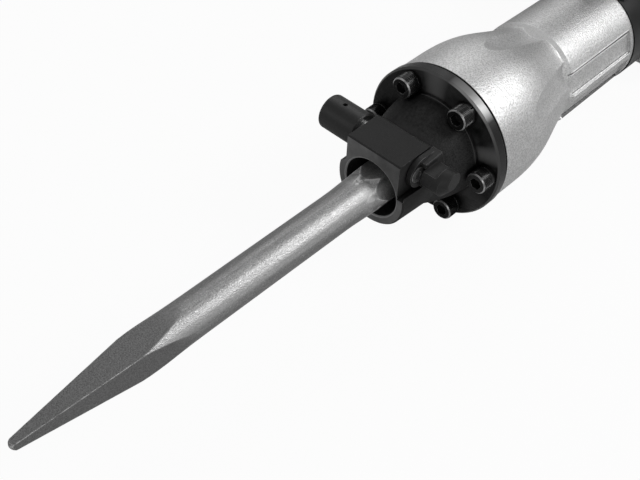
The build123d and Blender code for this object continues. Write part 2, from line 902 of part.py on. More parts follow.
with BuildPart() as piston_ring:
    with BuildSketch(barrel):
        Polygon(
            *ring_profile(
                piston_groove + seat,
                piston_groove + ring_width - seat,
                slide_radius - ring_depth + seat,
                slide_radius,
            ),
            align=None,
        )
    revolve(axis=barrel_axis)
piston_ring.part.label = "piston_ring"
export_step(piston_ring.part, "parts/piston_ring.step")

with BuildPart() as piston_pin:
    with BuildSketch(barrel):
        with Locations((pin_x, 0)):
            Circle(piston_pin_radius)
    extrude(amount=cylinder_bore - 2.5, both=True)
piston_pin.part.label = "piston_pin"
export_step(piston_pin.part, "parts/piston_pin.step")

# Connecting rod and crank pin, at the crank's rear dead centre
big_end_x = pin_x + rod_length
with BuildPart() as connecting_rod:
    with BuildSketch(barrel):
        with Locations((pin_x, 0)):
            Circle(piston_pin_radius + 5)
        with Locations((big_end_x, 0)):
            Circle(big_end_radius)
        with Locations(((pin_x + big_end_x) / 2, 0)):
            Rectangle(rod_length, 2 * piston_pin_radius + 1)
        with Locations((pin_x, 0)):
            Circle(piston_pin_radius + run, mode=Mode.SUBTRACT)
        with Locations((big_end_x, 0)):
            Circle(crank_pin_radius + seat, mode=Mode.SUBTRACT)
    extrude(amount=rod_half_width, both=True)
    for face_y in (-rod_half_width, rod_half_width):
        with BuildSketch(beside(face_y)):
            with Locations(((pin_x + big_end_x) / 2, 0)):
                SlotOverall(rod_length * 0.62, piston_pin_radius)
        extrude(amount=rod_half_width * 0.4 * (-1 if face_y < 0 else 1), mode=Mode.SUBTRACT)
connecting_rod.part.label = "connecting_rod"
export_step(connecting_rod.part, "parts/connecting_rod.step")

with BuildPart() as crank_pin:
    with BuildSketch(beside(rod_half_width + free)):
        with Locations((big_end_x, 0)):
            Circle(crank_pin_radius)
    extrude(amount=2 * rod_half_width + 2 * free)
crank_pin.part.label = "crank_pin"
export_step(crank_pin.part, "parts/crank_pin.step")

web_start = rod_half_width + 2 * free + 0.5
web_end = web_start + web_thickness
bearing_end = bearing_start + bearing_width
gear_end = gear_start + gear_width
end_bearing_start = gear_cover_start + 0.4
end_bearing_end = end_bearing_start + end_bearing_width
with BuildPart() as crankshaft:
    with BuildSketch(crank_section):
        Polygon(
            (web_start, 0),
            (web_start, web_radius - 1),
            (web_start + 1, web_radius),
            (web_end, web_radius),
            (web_end, journal_radius + 3),
            (bearing_start, journal_radius + 3),
            (bearing_start, journal_radius),
            (bearing_end + 0.4, journal_radius),
            (bearing_end + 0.4, gear_seat_radius),
            (gear_end + 1, gear_seat_radius),
            (gear_end + 1, end_journal_radius),
            (end_bearing_end, end_journal_radius),
            (end_bearing_end, 0),
            align=None,
        )
    revolve(axis=crank_axis)
    with BuildSketch(beside(web_start)):
        with Locations((crank_x + crank_radius, 0)):
            Circle(crank_pin_radius + seat)
    extrude(amount=-web_thickness * 0.8, mode=Mode.SUBTRACT)
crankshaft.part.label = "crankshaft"
export_step(crankshaft.part, "parts/crankshaft.step")

with BuildPart() as crank_gear:
    with BuildSketch(upright(crank_x, gear_start)):
        Polygon(*gear_outline(gear_teeth, 0), align=None)
        Circle(gear_seat_radius + seat, mode=Mode.SUBTRACT)
        with PolarLocations(gear_distance * 0.5, 6, start_angle=30):
            Circle(6, mode=Mode.SUBTRACT)
    extrude(amount=-gear_width)
crank_gear.part.label = "crank_gear"
export_step(crank_gear.part, "parts/crank_gear.step")


def bearing_profile(start, end, inner, outer):
    """Section of a shielded ball bearing: two rings with a recessed shield between them."""
    step = (outer - inner) / 4
    return [
        (start, inner),
        (end, inner),
        (end, inner + step),
        (end - 0.8, inner + step),
        (end - 0.8, outer - step),
        (end, outer - step),
        (end, outer),
        (start, outer),
        (start, outer - step),
        (start + 0.8, outer - step),
        (start + 0.8, inner + step),
        (start, inner + step),
    ]


with BuildPart() as crank_bearing:
    with BuildSketch(crank_section):
        Polygon(
            *bearing_profile(bearing_start + seat, bearing_end, journal_radius + run, bearing_radius),
            align=None,
        )
    revolve(axis=crank_axis)
crank_bearing.part.label = "crank_bearing"
export_step(crank_bearing.part, "parts/crank_bearing.step")

with BuildPart() as crank_end_bearing:
    with BuildSketch(crank_section):
        Polygon(
            *bearing_profile(
                end_bearing_start, end_bearing_end, end_journal_radius + run, end_bearing_radius
            ),
            align=None,
        )
    revolve(axis=crank_axis)
crank_end_bearing.part.label = "crank_end_bearing"
export_step(crank_end_bearing.part, "parts/crank_end_bearing.step")

# Crankcase: ribbed casting with the crank chamber, the bearing wall and the gear chamber
rod_window = crank_radius + big_end_radius + 5.0
gear_room = gear_module * (gear_teeth / 2 + 1) + 3.0
pinion_room = gear_module * (pinion_teeth / 2 + 1) + 3.0
outline = [
    (case_end, -case_flange_half),
    (case_end + 9, -floor_drop),
    (motor_x - 12, -floor_drop),
    (crankcase_back - 6, -32),
    (crankcase_back, -22),
    (crankcase_back, 22),
    (crankcase_back - 6, 32),
    (motor_x - 12, floor_drop),
    (case_end + 9, floor_drop),
    (case_end, case_flange_half),
]
tongue_top = case_top + 8.0
tongue_bottom = hand_gap_start - 4.0
upper_screw = (handle_front + 10, (tongue_top + tongue_bottom) / 2)
crank_screw_spots = ring_spots(crank_cover_screw_circle, 6, 30, (crank_x, 0))
motor_screw_spots = ring_spots(motor_screw_circle, 4, 45, (motor_x, 0))
gear_screw_spots = [
    (case_end + 12, -48),
    (case_end + 12, 48),
    (crank_x + 20, -53),
    (crank_x + 20, 53),
]
with BuildPart() as crankcase:
    with BuildSketch(beside(gear_cover_start)):
        Polygon(*outline, align=None)
    extrude(amount=gear_cover_start - case_top)
    fillet(crankcase.edges().filter_by(Axis.Y), 5)
    for rib in range(5):
        for side_z in (-1, 1):
            with BuildSketch(across(case_end + 24 + 13 * rib)):
                with Locations(((case_top + gear_cover_start) / 2, side_z * floor_drop)):
                    Rectangle(gear_cover_start - case_top - 24, 5)
            extrude(amount=6, mode=Mode.SUBTRACT)
    with BuildSketch(level(0)):
        with Locations(((crankcase_back + handle_front + 18) / 2 - 2, (tongue_top + tongue_bottom) / 2)):
            Rectangle(handle_front + 22 - crankcase_back, tongue_bottom - tongue_top)
        with Locations(upper_screw):
            Circle(m5_radius + free, mode=Mode.SUBTRACT)
    extrude(amount=tongue_half_height, both=True)
    with BuildSketch(crank_section):
        Polygon(
            (case_top - 1, 0),
            (case_top - 1, chamber_radius),
            (bearing_start, chamber_radius),
            (bearing_start, bearing_radius + seat),
            (bearing_end, bearing_radius + seat),
            (bearing_end, bearing_radius - 4),
            (gear_start - free, bearing_radius - 4),
            (gear_start - free, gear_room),
            (gear_cover_start + 1, gear_room),
            (gear_cover_start + 1, 0),
            align=None,
        )
    revolve(axis=crank_axis, mode=Mode.SUBTRACT)
    with BuildSketch(motor_section):
        Polygon(*ring_profile(gear_start - free, gear_cover_start + 1, 0, pinion_room), align=None)
    revolve(axis=motor_axis, mode=Mode.SUBTRACT)
    with BuildSketch(barrel):
        Polygon(
            (case_end - 1, 0),
            (case_end - 1, liner_radius + seat),
            (liner_end + seat, liner_radius + seat),
            (liner_end + seat, cylinder_bore + 2.5),
            (crank_x - 15, cylinder_bore + 2.5),
            (crank_x - 15, 0),
            align=None,
        )
    revolve(axis=barrel_axis, mode=Mode.SUBTRACT)
    with BuildSketch(upright(crank_x - rod_window / 2, 0)):
        Rectangle(rod_window, 2 * (crank_radius + big_end_radius + 1.5))
    extrude(amount=rod_half_width + 1.5, both=True, mode=Mode.SUBTRACT)
    with BuildSketch(across(case_end)):
        with Locations(*case_bolt_spots):
            Circle(case_bolt_radius + seat)
    extrude(amount=16, mode=Mode.SUBTRACT)
    with BuildSketch(beside(case_top)):
        with Locations(*crank_screw_spots):
            Circle(m5_radius + seat)
    extrude(amount=-14, mode=Mode.SUBTRACT)
    with BuildSketch(beside(gear_cover_start)):
        with Locations(*gear_screw_spots):
            Circle(m6_radius + seat)
    extrude(amount=20, mode=Mode.SUBTRACT)
crankcase.part.label = "crankcase"
export_step(crankcase.part, "parts/crankcase.step")

with BuildPart() as crank_cover:
    with BuildSketch(beside(case_top)):
        with Locations((crank_x, 0)):
            Circle(crank_cover_radius)
    extrude(amount=crank_cover_thickness)
    chamfer(crank_cover.faces().sort_by(Axis.Y)[0].edges(), 1.5)
    with BuildSketch(beside(case_top)):
        with Locations((crank_x, 0)):
            Circle(chamber_radius - free)
    extrude(amount=-3)
    with BuildSketch(beside(case_top - crank_cover_thickness)):
        with Locations((crank_x, 0)):
            Circle(chamber_radius - 6)
            Circle(chamber_radius - 22, mode=Mode.SUBTRACT)
    extrude(amount=-1.5, mode=Mode.SUBTRACT)
    with BuildSketch(beside(case_top - crank_cover_thickness)):
        with Locations(*crank_screw_spots):
            Circle(m5_radius + free)
    extrude(amount=-2 * crank_cover_thickness, mode=Mode.SUBTRACT)
crank_cover.part.label = "crank_cover"
export_step(crank_cover.part, "parts/crank_cover.step")

crank_cover_screws = cap_screws(
    beside(case_top - crank_cover_thickness),
    crank_screw_spots,
    m5_radius,
    m5_radius * 1.75,
    m5_radius * 1.6,
    crank_cover_thickness + thread_depth,
)
crank_cover_screws.part.label = "crank_cover_screws"
export_step(crank_cover_screws.part, "parts/crank_cover_screws.step")

# Gear cover: carries the crank's end bearing and the armature's front bearing
front_bearing_start = gear_cover_start + 2.4
front_bearing_end = front_bearing_start + front_bearing_width
with BuildPart() as gear_cover:
    with BuildSketch(beside(motor_start)):
        Polygon(*outline, align=None)
        with Locations((motor_x, 0)):
            Circle(motor_flange_radius)
        with Locations(*motor_screw_spots):
            Circle(motor_ear_radius)
    extrude(amount=gear_cover_thickness)
    with BuildSketch(crank_section):
        Polygon(
            (gear_cover_start - 1, 0),
            (gear_cover_start - 1, end_bearing_radius + seat),
            (end_bearing_end + seat, end_bearing_radius + seat),
            (end_bearing_end + seat, end_bearing_radius - 5),
            (end_bearing_end + 1.2, end_bearing_radius - 5),
            (end_bearing_end + 1.2, 0),
            align=None,
        )
    revolve(axis=crank_axis, mode=Mode.SUBTRACT)
    with BuildSketch(motor_section):
        Polygon(
            (gear_cover_start - 1, 0),
            (gear_cover_start - 1, pinion_room - 1),
            (front_bearing_start, pinion_room - 1),
            (front_bearing_start, front_bearing_radius + seat),
            (motor_start + 1, front_bearing_radius + seat),
            (motor_start + 1, 0),
            align=None,
        )
    revolve(axis=motor_axis, mode=Mode.SUBTRACT)
    with BuildSketch(beside(motor_start)):
        with Locations(*gear_screw_spots):
            Circle(m6_radius + free)
    extrude(amount=gear_cover_thickness, mode=Mode.SUBTRACT)
    with BuildSketch(beside(motor_start)):
        with Locations(*motor_screw_spots):
            Circle(m6_radius + seat)
    extrude(amount=gear_cover_thickness - 2, mode=Mode.SUBTRACT)
gear_cover.part.label = "gear_cover"
export_step(gear_cover.part, "parts/gear_cover.step")

gear_cover_screws = cap_screws(
    -beside(motor_start),
    gear_screw_spots,
    m6_radius,
    m6_radius * 1.67,
    2 * m6_radius,
    gear_cover_thickness + 18,
)
gear_cover_screws.part.label = "gear_cover_screws"
export_step(gear_cover_screws.part, "parts/gear_cover_screws.step")

# Motor: armature
pinion_start = gear_start - 0.4
pinion_end = gear_end + 0.6
core_start = motor_start + 32.0
core_end = core_start + core_length
commutator_start = core_end + 16.0
commutator_end = commutator_start + commutator_length
rear_bearing_start = motor_end + 4.0
rear_bearing_end = rear_bearing_start + rear_bearing_width
pinion_root = gear_module * (pinion_teeth / 2 - 1.25)
with BuildPart() as armature_shaft:
    with BuildSketch(motor_section):
        Polygon(
            (pinion_start, 0),
            (pinion_start, pinion_root - 0.5),
            (pinion_end + 0.4, pinion_root - 0.5),
            (pinion_end + 0.4, front_journal_radius + 0.4),
            (front_bearing_start, front_journal_radius + 0.4),
            (front_bearing_start, front_journal_radius),
            (front_bearing_end + 0.4, front_journal_radius),
            (front_bearing_end + 0.4, shaft_core_radius),
            (rear_bearing_start - 2, shaft_core_radius),
            (rear_bearing_start - 2, rear_journal_radius),
            (rear_bearing_end, rear_journal_radius),
            (rear_bearing_end, 0),
            align=None,
        )
    revolve(axis=motor_axis)
    with BuildSketch(upright(motor_x, pinion_start)):
        Polygon(*gear_outline(pinion_teeth, 180 + 180 / pinion_teeth), align=None)
    extrude(amount=pinion_start - pinion_end)
armature_shaft.part.label = "armature_shaft"
export_step(armature_shaft.part, "parts/armature_shaft.step")

with BuildPart() as armature_core:
    with BuildSketch(upright(motor_x, core_start)):
        Circle(core_radius)
        Circle(shaft_core_radius + seat, mode=Mode.SUBTRACT)
        with PolarLocations(core_radius - 4, 12):
            Rectangle(10, 2.2, mode=Mode.SUBTRACT)
    extrude(amount=-core_length)
armature_core.part.label = "armature_core"
export_step(armature_core.part, "parts/armature_core.step")

with BuildPart() as armature_windings:
    with BuildSketch(motor_section):
        for start, end in ((core_start - 10, core_start - seat), (core_end + seat, core_end + 12)):
            Polygon(*ring_profile(start, end, shaft_core_radius + seat, core_radius - 3), align=None)
    revolve(axis=motor_axis)
armature_windings.part.label = "armature_windings"
export_step(armature_windings.part, "parts/armature_windings.step")

with BuildPart() as commutator:
    with BuildSketch(motor_section):
        Polygon(
            (commutator_start - 3.4, shaft_core_radius + seat),
            (commutator_end, shaft_core_radius + seat),
            (commutator_end, commutator_radius),
            (commutator_start, commutator_radius),
            (commutator_start, commutator_radius + 2.5),
            (commutator_start - 3.4, commutator_radius + 2.5),
            align=None,
        )
    revolve(axis=motor_axis)
commutator.part.label = "commutator"
export_step(commutator.part, "parts/commutator.step")

fan_start = motor_start + 4.0
fan_end = fan_start + fan_width
with BuildPart() as fan:
    with BuildSketch(motor_section):
        Polygon(
            (fan_start, shaft_core_radius + seat),
            (fan_end, shaft_core_radius + seat),
            (fan_end, shaft_core_radius + 6),
            (fan_start + 2.5, shaft_core_radius + 9),
            (fan_start + 2.5, fan_radius),
            (fan_start, fan_radius),
            align=None,
        )
    revolve(axis=motor_axis)
    blade_middle = (shaft_core_radius + 9 + fan_radius) / 2
    with BuildSketch(upright(motor_x, fan_start + 2)):
        with PolarLocations(blade_middle, 11):
            Rectangle(fan_radius - shaft_core_radius - 9, 2, rotation=20)
    extrude(amount=-fan_width + 2)
fan.part.label = "fan"
export_step(fan.part, "parts/fan.step")

with BuildPart() as armature_front_bearing:
    with BuildSketch(motor_section):
        Polygon(
            *bearing_profile(
                front_bearing_start + seat,
                front_bearing_end,
                front_journal_radius + run,
                front_bearing_radius,
            ),
            align=None,
        )
    revolve(axis=motor_axis)
armature_front_bearing.part.label = "armature_front_bearing"
export_step(armature_front_bearing.part, "parts/armature_front_bearing.step")

with BuildPart() as armature_rear_bearing:
    with BuildSketch(motor_section):
        Polygon(
            *bearing_profile(
                rear_bearing_start, rear_bearing_end, rear_journal_radius + run, rear_bearing_radius
            ),
            align=None,
        )
    revolve(axis=motor_axis)
armature_rear_bearing.part.label = "armature_rear_bearing"
export_step(armature_rear_bearing.part, "parts/armature_rear_bearing.step")

# Motor: field, housing and brushes
housing_bore = motor_radius - motor_wall
field_bore = core_radius + air_gap
with BuildPart() as field_core:
    with BuildSketch(upright(motor_x, core_start - 2)):
        Circle(housing_bore - seat)
        Circle(field_bore, mode=Mode.SUBTRACT)
        with PolarLocations(field_bore + 6, 4, start_angle=45):
            Rectangle(10, 12, mode=Mode.SUBTRACT)
    extrude(amount=-core_length - 4)
field_core.part.label = "field_core"
export_step(field_core.part, "parts/field_core.step")

with BuildPart() as field_coils:
    with BuildSketch(motor_section):
        for start, end in ((core_start - 9.5, core_start - 2 - seat), (core_end + 2 + seat, core_end + 11)):
            Polygon(*ring_profile(start, end, field_bore + 2, housing_bore - 4), align=None)
    revolve(axis=motor_axis)
field_coils.part.label = "field_coils"
export_step(field_coils.part, "parts/field_coils.step")

brush_spot = (motor_x, (commutator_start + commutator_end) / 2)
boss_reach = floor_drop - 3.0
lower_tongue_top = hand_gap_end + 4.0
lower_tongue_bottom = handle_low - 4.0
lower_arm_front = motor_x + motor_radius + 8.0
lower_screw = (lower_arm_front + 10, (lower_tongue_top + lower_tongue_bottom) / 2)
with BuildPart() as motor_housing:
    with BuildSketch(motor_section):
        Polygon(
            (motor_start, 0),
            (motor_start, motor_flange_radius),
            (motor_start + motor_flange_thickness, motor_flange_radius),
            (motor_start + motor_flange_thickness, motor_radius + 0.8),
            (motor_start + motor_flange_thickness + 18, motor_radius),
            (motor_end, motor_radius),
            (motor_end, 0),
            align=None,
        )
    revolve(axis=motor_axis)
    with BuildSketch(beside(motor_start)):
        with Locations(*motor_screw_spots):
            Circle(motor_ear_radius)
    extrude(amount=-motor_flange_thickness)
    with BuildSketch(upright(motor_x, core_start)):
        with PolarLocations(motor_radius + 0.4, 8, start_angle=22.5):
            Rectangle(3, 5)
    extrude(amount=-core_length)
    with BuildSketch(level(0)):
        with Locations(brush_spot):
            Circle(brush_holder_radius + 5)
    extrude(amount=boss_reach, both=True)
    with BuildSketch(level(0)):
        with Locations(((lower_arm_front + motor_x + housing_bore) / 2, (hand_gap_end + handle_low) / 2)):
            Rectangle(lower_arm_front - motor_x - housing_bore - 1, arm_width - 2)
    extrude(amount=handle_half_height - 2, both=True)
    with BuildSketch(level(0)):
        with Locations((lower_arm_front + 9, (lower_tongue_top + lower_tongue_bottom) / 2)):
            Rectangle(22, lower_tongue_bottom - lower_tongue_top)
        with Locations(lower_screw):
            Circle(m5_radius + free, mode=Mode.SUBTRACT)
    extrude(amount=tongue_half_height, both=True)
    with BuildSketch(motor_section):
        Polygon(*ring_profile(motor_start - 1, motor_end + 1, 0, housing_bore), align=None)
    revolve(axis=motor_axis, mode=Mode.SUBTRACT)
    with BuildSketch(upright(motor_x, motor_end)):
        with PolarLocations(tail_screw_circle, 4, start_angle=45):
            Circle(5)
            Circle(m5_radius - 0.5 + seat, mode=Mode.SUBTRACT)
    extrude(amount=26)
    with BuildSketch(beside(motor_start)):
        with Locations(*motor_screw_spots):
            Circle(m6_radius + free)
    extrude(amount=-motor_flange_thickness, mode=Mode.SUBTRACT)
    with BuildSketch(level(0)):
        with Locations(brush_spot):
            Circle(brush_holder_radius + seat)
    extrude(amount=2 * motor_radius, both=True, mode=Mode.SUBTRACT)
    vent_middle = fan_start + fan_width * 0.62
    with Locations(upright(motor_x, vent_middle)):
        with PolarLocations(motor_radius, vent_count, start_angle=180 / vent_count):
            Box(4 * motor_wall, vent_width, vent_length, mode=Mode.SUBTRACT)
motor_housing.part.label = "motor_housing"
export_step(motor_housing.part, "parts/motor_housing.step")

motor_screws = cap_screws(
    -beside(motor_start + motor_flange_thickness),
    motor_screw_spots,
    m6_radius,
    m6_radius * 1.67,
    2 * m6_radius,
    motor_flange_thickness + thread_depth,
)
motor_screws.part.label = "motor_screws"
export_step(motor_screws.part, "parts/motor_screws.step")

brush_top = commutator_radius + brush_length
cap_start = housing_bore + 1.0
with BuildPart() as brush_holders:
    for side_z in (-1, 1):
        with BuildSketch(level(side_z * (commutator_radius + 2))):
            with Locations(brush_spot):
                Circle(brush_holder_radius)
                Rectangle(brush_side + 2 * run, brush_side + 2 * run, mode=Mode.SUBTRACT)
        extrude(amount=side_z * (cap_start - commutator_radius - 2 - seat))
brush_holders.part.label = "brush_holders"
export_step(brush_holders.part, "parts/brush_holders.step")

with BuildPart() as brushes:
    for side_z in (-1, 1):
        with BuildSketch(level(side_z * (commutator_radius + free))):
            with Locations(brush_spot):
                Rectangle(brush_side, brush_side)
        extrude(amount=side_z * (brush_top - commutator_radius - free))
brushes.part.label = "brushes"
export_step(brushes.part, "parts/brushes.step")

with BuildPart() as brush_caps:
    for side_z in (-1, 1):
        with BuildSketch(level(side_z * cap_start)):
            with Locations(brush_spot):
                Circle(brush_holder_radius)
        extrude(amount=side_z * (boss_reach - cap_start + 0.6))
        with BuildSketch(level(side_z * (boss_reach + 0.6))):
            with Locations(brush_spot):
                Rectangle(2 * brush_holder_radius + 1, 1.8)
        extrude(amount=-side_z * 2, mode=Mode.SUBTRACT)
brush_caps.part.label = "brush_caps"
export_step(brush_caps.part, "parts/brush_caps.step")

# Tail cover: carries the armature's rear bearing and guards the motor's end
with BuildPart() as tail_cover:
    with BuildSketch(motor_section):
        with BuildLine():
            Polyline(
                (motor_end, 0),
                (motor_end, motor_radius),
                (motor_end + 5, floor_drop),
                (tail_end - 12, floor_drop),
            )
            ThreePointArc(
                (tail_end - 12, floor_drop),
                (tail_end - 3.5, floor_drop - 3.5),
                (tail_end, floor_drop - 12),
            )
            Polyline((tail_end, floor_drop - 12), (tail_end, 0), (motor_end, 0))
        make_face()
    revolve(axis=motor_axis)
    with BuildSketch(motor_section):
        Polygon(
            (motor_end - 1, 0),
            (motor_end - 1, housing_bore - 6),
            (tail_end - tail_wall, housing_bore - 6),
            (tail_end - tail_wall, rear_bearing_radius + 5),
            (rear_bearing_start, rear_bearing_radius + 5),
            (rear_bearing_start, rear_bearing_radius + seat),
            (rear_bearing_end + seat, rear_bearing_radius + seat),
            (rear_bearing_end + seat, 0),
            align=None,
        )
    revolve(axis=motor_axis, mode=Mode.SUBTRACT)
    with Locations(upright(motor_x, tail_end)):
        with PolarLocations((rear_bearing_radius + housing_bore) / 2, 12):
            Box(14, 4, 3 * tail_wall, mode=Mode.SUBTRACT)
        with PolarLocations(tail_screw_circle, 4, start_angle=45):
            CounterBoreHole(m5_radius - 0.5 + free, 4.4, tail_length - 8, tail_length + 2)
tail_cover.part.label = "tail_cover"
export_step(tail_cover.part, "parts/tail_cover.step")

tail_head = tail_end - tail_length + 8.0
with BuildPart() as tail_screws:
    with BuildSketch(upright(motor_x, tail_head)):
        with PolarLocations(tail_screw_circle, 4, start_angle=45):
            Circle(3.6)
    extrude(amount=-3)
    with BuildSketch(upright(motor_x, tail_head)):
        with PolarLocations(tail_screw_circle, 4, start_angle=45):
            Circle(m5_radius - 0.5)
    extrude(amount=24)
tail_screws.part.label = "tail_screws"
export_step(tail_screws.part, "parts/tail_screws.step")

# Main handle: two moulded halves that meet at the level of the barrel's axis
switch_start = hand_gap_start + switch_setback
switch_length = 58.0
trigger_start = switch_start + 9.0
switch_front = grip_front + 18.0
switch_back = handle_back - 6.0
switch_half_height = 11.5
button_spot = (grip_front + 22.0, switch_start + switch_length + 8.0)
gland_x = handle_back - 19.0
gland_start = handle_low - 12.0
handle_screw_spots = [
    upper_screw,
    lower_screw,
    (grip_front + 8, case_top + 4 + arm_width / 2),
    (grip_front + 8, handle_low - arm_width / 2),
    (grip_front + 19, switch_start + switch_length + 34),
]


def handle_outline():
    """Adds the handle's plan to the sketch in work: a rounded D with its front open."""
    with Locations(((handle_front + handle_back) / 2, (case_top + 4 + handle_low) / 2)):
        RectangleRounded(handle_back - handle_front, handle_low - case_top - 4, 34)
    with Locations((handle_front, (hand_gap_start + hand_gap_end) / 2)):
        RectangleRounded(2 * (grip_front - handle_front), hand_gap_length, 24, mode=Mode.SUBTRACT)
    with Locations(((handle_front + 17), case_top + 4 + arm_width / 2)):
        Rectangle(34, arm_width)
    with Locations(((handle_front + 17), handle_low - arm_width / 2)):
        Rectangle(34, arm_width)
    with Locations(((handle_front + lower_arm_front) / 2 - 30, handle_low - arm_width / 2)):
        Rectangle(lower_arm_front - handle_front + 60.5, arm_width + 2, mode=Mode.SUBTRACT)


for half_name, side in (("handle_upper_half", 1), ("handle_lower_half", -1)):
    with BuildPart() as half:
        with BuildSketch(level(0)):
            handle_outline()
        extrude(amount=side * handle_half_height)
        outer_face = half.faces().sort_by(Axis.Z)[-1 if side > 0 else 0]
        fillet(outer_face.edges(), grip_round)
        # Pockets for the two tongues
        with BuildSketch(level(0)):
            with Locations((handle_front + 9.5, (tongue_top + tongue_bottom) / 2)):
                Rectangle(22, tongue_bottom - tongue_top + 2 * tongue_play)
            with Locations((lower_arm_front + 9.5, (lower_tongue_top + lower_tongue_bottom) / 2)):
                Rectangle(22, lower_tongue_bottom - lower_tongue_top + 2 * tongue_play)
        extrude(amount=side * (tongue_half_height + tongue_play), mode=Mode.SUBTRACT)
        # Room for the switch and the trigger's guide
        with BuildSketch(level(0)):
            with Locations(((grip_front + 5 + switch_back) / 2, switch_start + switch_length / 2)):
                Rectangle(switch_back - grip_front - 5, switch_length)
        extrude(amount=side * switch_half_height, mode=Mode.SUBTRACT)
        with BuildSketch(level(0)):
            with Locations((grip_front, trigger_start + trigger_length / 2)):
                Rectangle(24, trigger_length + 2 * free)
        extrude(amount=side * (trigger_half_height + free), mode=Mode.SUBTRACT)
        # Cord gland's seat and the wire's way to the switch
        with BuildSketch(-upright(gland_x, gland_start)):
            Circle(gland_radius + seat)
        extrude(amount=arm_width, mode=Mode.SUBTRACT)
        with BuildSketch(-upright(gland_x, switch_start + switch_length - 1)):
            Circle(cord_hole_radius + 1)
        extrude(amount=gland_start - switch_start - switch_length + 2, mode=Mode.SUBTRACT)
        with BuildSketch(level(0)):
            with Locations(*handle_screw_spots):
                Circle(m5_radius + (free if side > 0 else seat))
        extrude(amount=side * (2 * handle_half_height if side > 0 else 14), mode=Mode.SUBTRACT)
        if side > 0:
            with BuildSketch(level(handle_half_height)):
                with Locations(*handle_screw_spots):
                    Circle(m5_radius * 2)
            extrude(amount=-4, mode=Mode.SUBTRACT)
            with BuildSketch(level(0)):
                with Locations(button_spot):
                    Circle(button_radius + run)
            extrude(amount=2 * handle_half_height, mode=Mode.SUBTRACT)
            with BuildSketch(level(0)):
                with Locations(button_spot):
                    Circle(button_radius + 2.5)
            extrude(amount=10, mode=Mode.SUBTRACT)
    half.part.label = half_name
    export_step(half.part, "parts/" + half_name + ".step")

with BuildPart() as handle_screws:
    with BuildSketch(level(handle_half_height - 4)):
        with Locations(*handle_screw_spots):
            Circle(m5_radius * 1.8)
    extrude(amount=2.8)
    with BuildSketch(level(handle_half_height - 4)):
        with Locations(*handle_screw_spots):
            Circle(m5_radius)
    extrude(amount=-(handle_half_height + 8))
    with BuildSketch(level(handle_half_height - 1.2)):
        with Locations(*handle_screw_spots):
            Rectangle(5.4, 1.2)
            Rectangle(1.2, 5.4)
    extrude(amount=-1.8, mode=Mode.SUBTRACT)
handle_screws.part.label = "handle_screws"
export_step(handle_screws.part, "parts/handle_screws.step")

with BuildPart() as trigger:
    with BuildSketch(level(0)):
        with BuildLine():
            Polyline(
                (grip_front + 8, trigger_start),
                (grip_front - trigger_reach + 5, trigger_start),
            )
            ThreePointArc(
                (grip_front - trigger_reach + 5, trigger_start),
                (grip_front - trigger_reach + 1.5, trigger_start + 1.5),
                (grip_front - trigger_reach, trigger_start + 5),
            )
            ThreePointArc(
                (grip_front - trigger_reach, trigger_start + 5),
                (grip_front - trigger_reach + 2.4, trigger_start + trigger_length / 2),
                (grip_front - trigger_reach, trigger_start + trigger_length - 5),
            )
            ThreePointArc(
                (grip_front - trigger_reach, trigger_start + trigger_length - 5),
                (grip_front - trigger_reach + 1.5, trigger_start + trigger_length - 1.5),
                (grip_front - trigger_reach + 5, trigger_start + trigger_length),
            )
            Polyline(
                (grip_front - trigger_reach + 5, trigger_start + trigger_length),
                (grip_front + 8, trigger_start + trigger_length),
                (grip_front + 8, trigger_start),
            )
        make_face()
    extrude(amount=trigger_half_height, both=True)
    for flat in (trigger.faces().sort_by(Axis.Z)[-1], trigger.faces().sort_by(Axis.Z)[0]):
        fillet(flat.edges().sort_by(Axis.X)[:3], 1.6)
    with BuildSketch(level(0)):
        with Locations((grip_front + 8, trigger_start + trigger_length / 2)):
            Rectangle(5, switch_length - 4)
    extrude(amount=trigger_half_height, both=True)
trigger.part.label = "trigger"
export_step(trigger.part, "parts/trigger.step")

with BuildPart() as switch_body:
    with BuildSketch(level(0)):
        with Locations(((switch_front + switch_back) / 2, switch_start + switch_length / 2)):
            Rectangle(switch_back - switch_front - 2 * seat, switch_length - 2 * seat)
    extrude(amount=switch_half_height - seat, both=True)
switch_body.part.label = "switch_body"
export_step(switch_body.part, "parts/switch_body.step")

with BuildPart() as lock_button:
    with BuildSketch(level(handle_half_height + button_travel + 0.4)):
        with Locations(button_spot):
            Circle(button_radius)
    extrude(amount=-handle_half_height - button_travel + 6.0)
    chamfer(lock_button.faces().sort_by(Axis.Z)[-1].edges(), 0.8)
    with BuildSketch(level(6.4)):
        with Locations(button_spot):
            Circle(button_radius + 2)
    extrude(amount=3.2)
lock_button.part.label = "lock_button"
export_step(lock_button.part, "parts/lock_button.step")

with BuildPart() as cord_gland:
    with BuildSketch(-upright(gland_x, gland_start + seat)):
        Circle(gland_radius)
        Circle(cord_hole_radius, mode=Mode.SUBTRACT)
    extrude(amount=handle_low - gland_start + 4)
    with BuildSketch(-upright(gland_x, handle_low + seat)):
        Circle(gland_radius + 2)
        Circle(cord_hole_radius, mode=Mode.SUBTRACT)
    extrude(amount=4)
cord_gland.part.label = "cord_gland"
export_step(cord_gland.part, "parts/cord_gland.step")

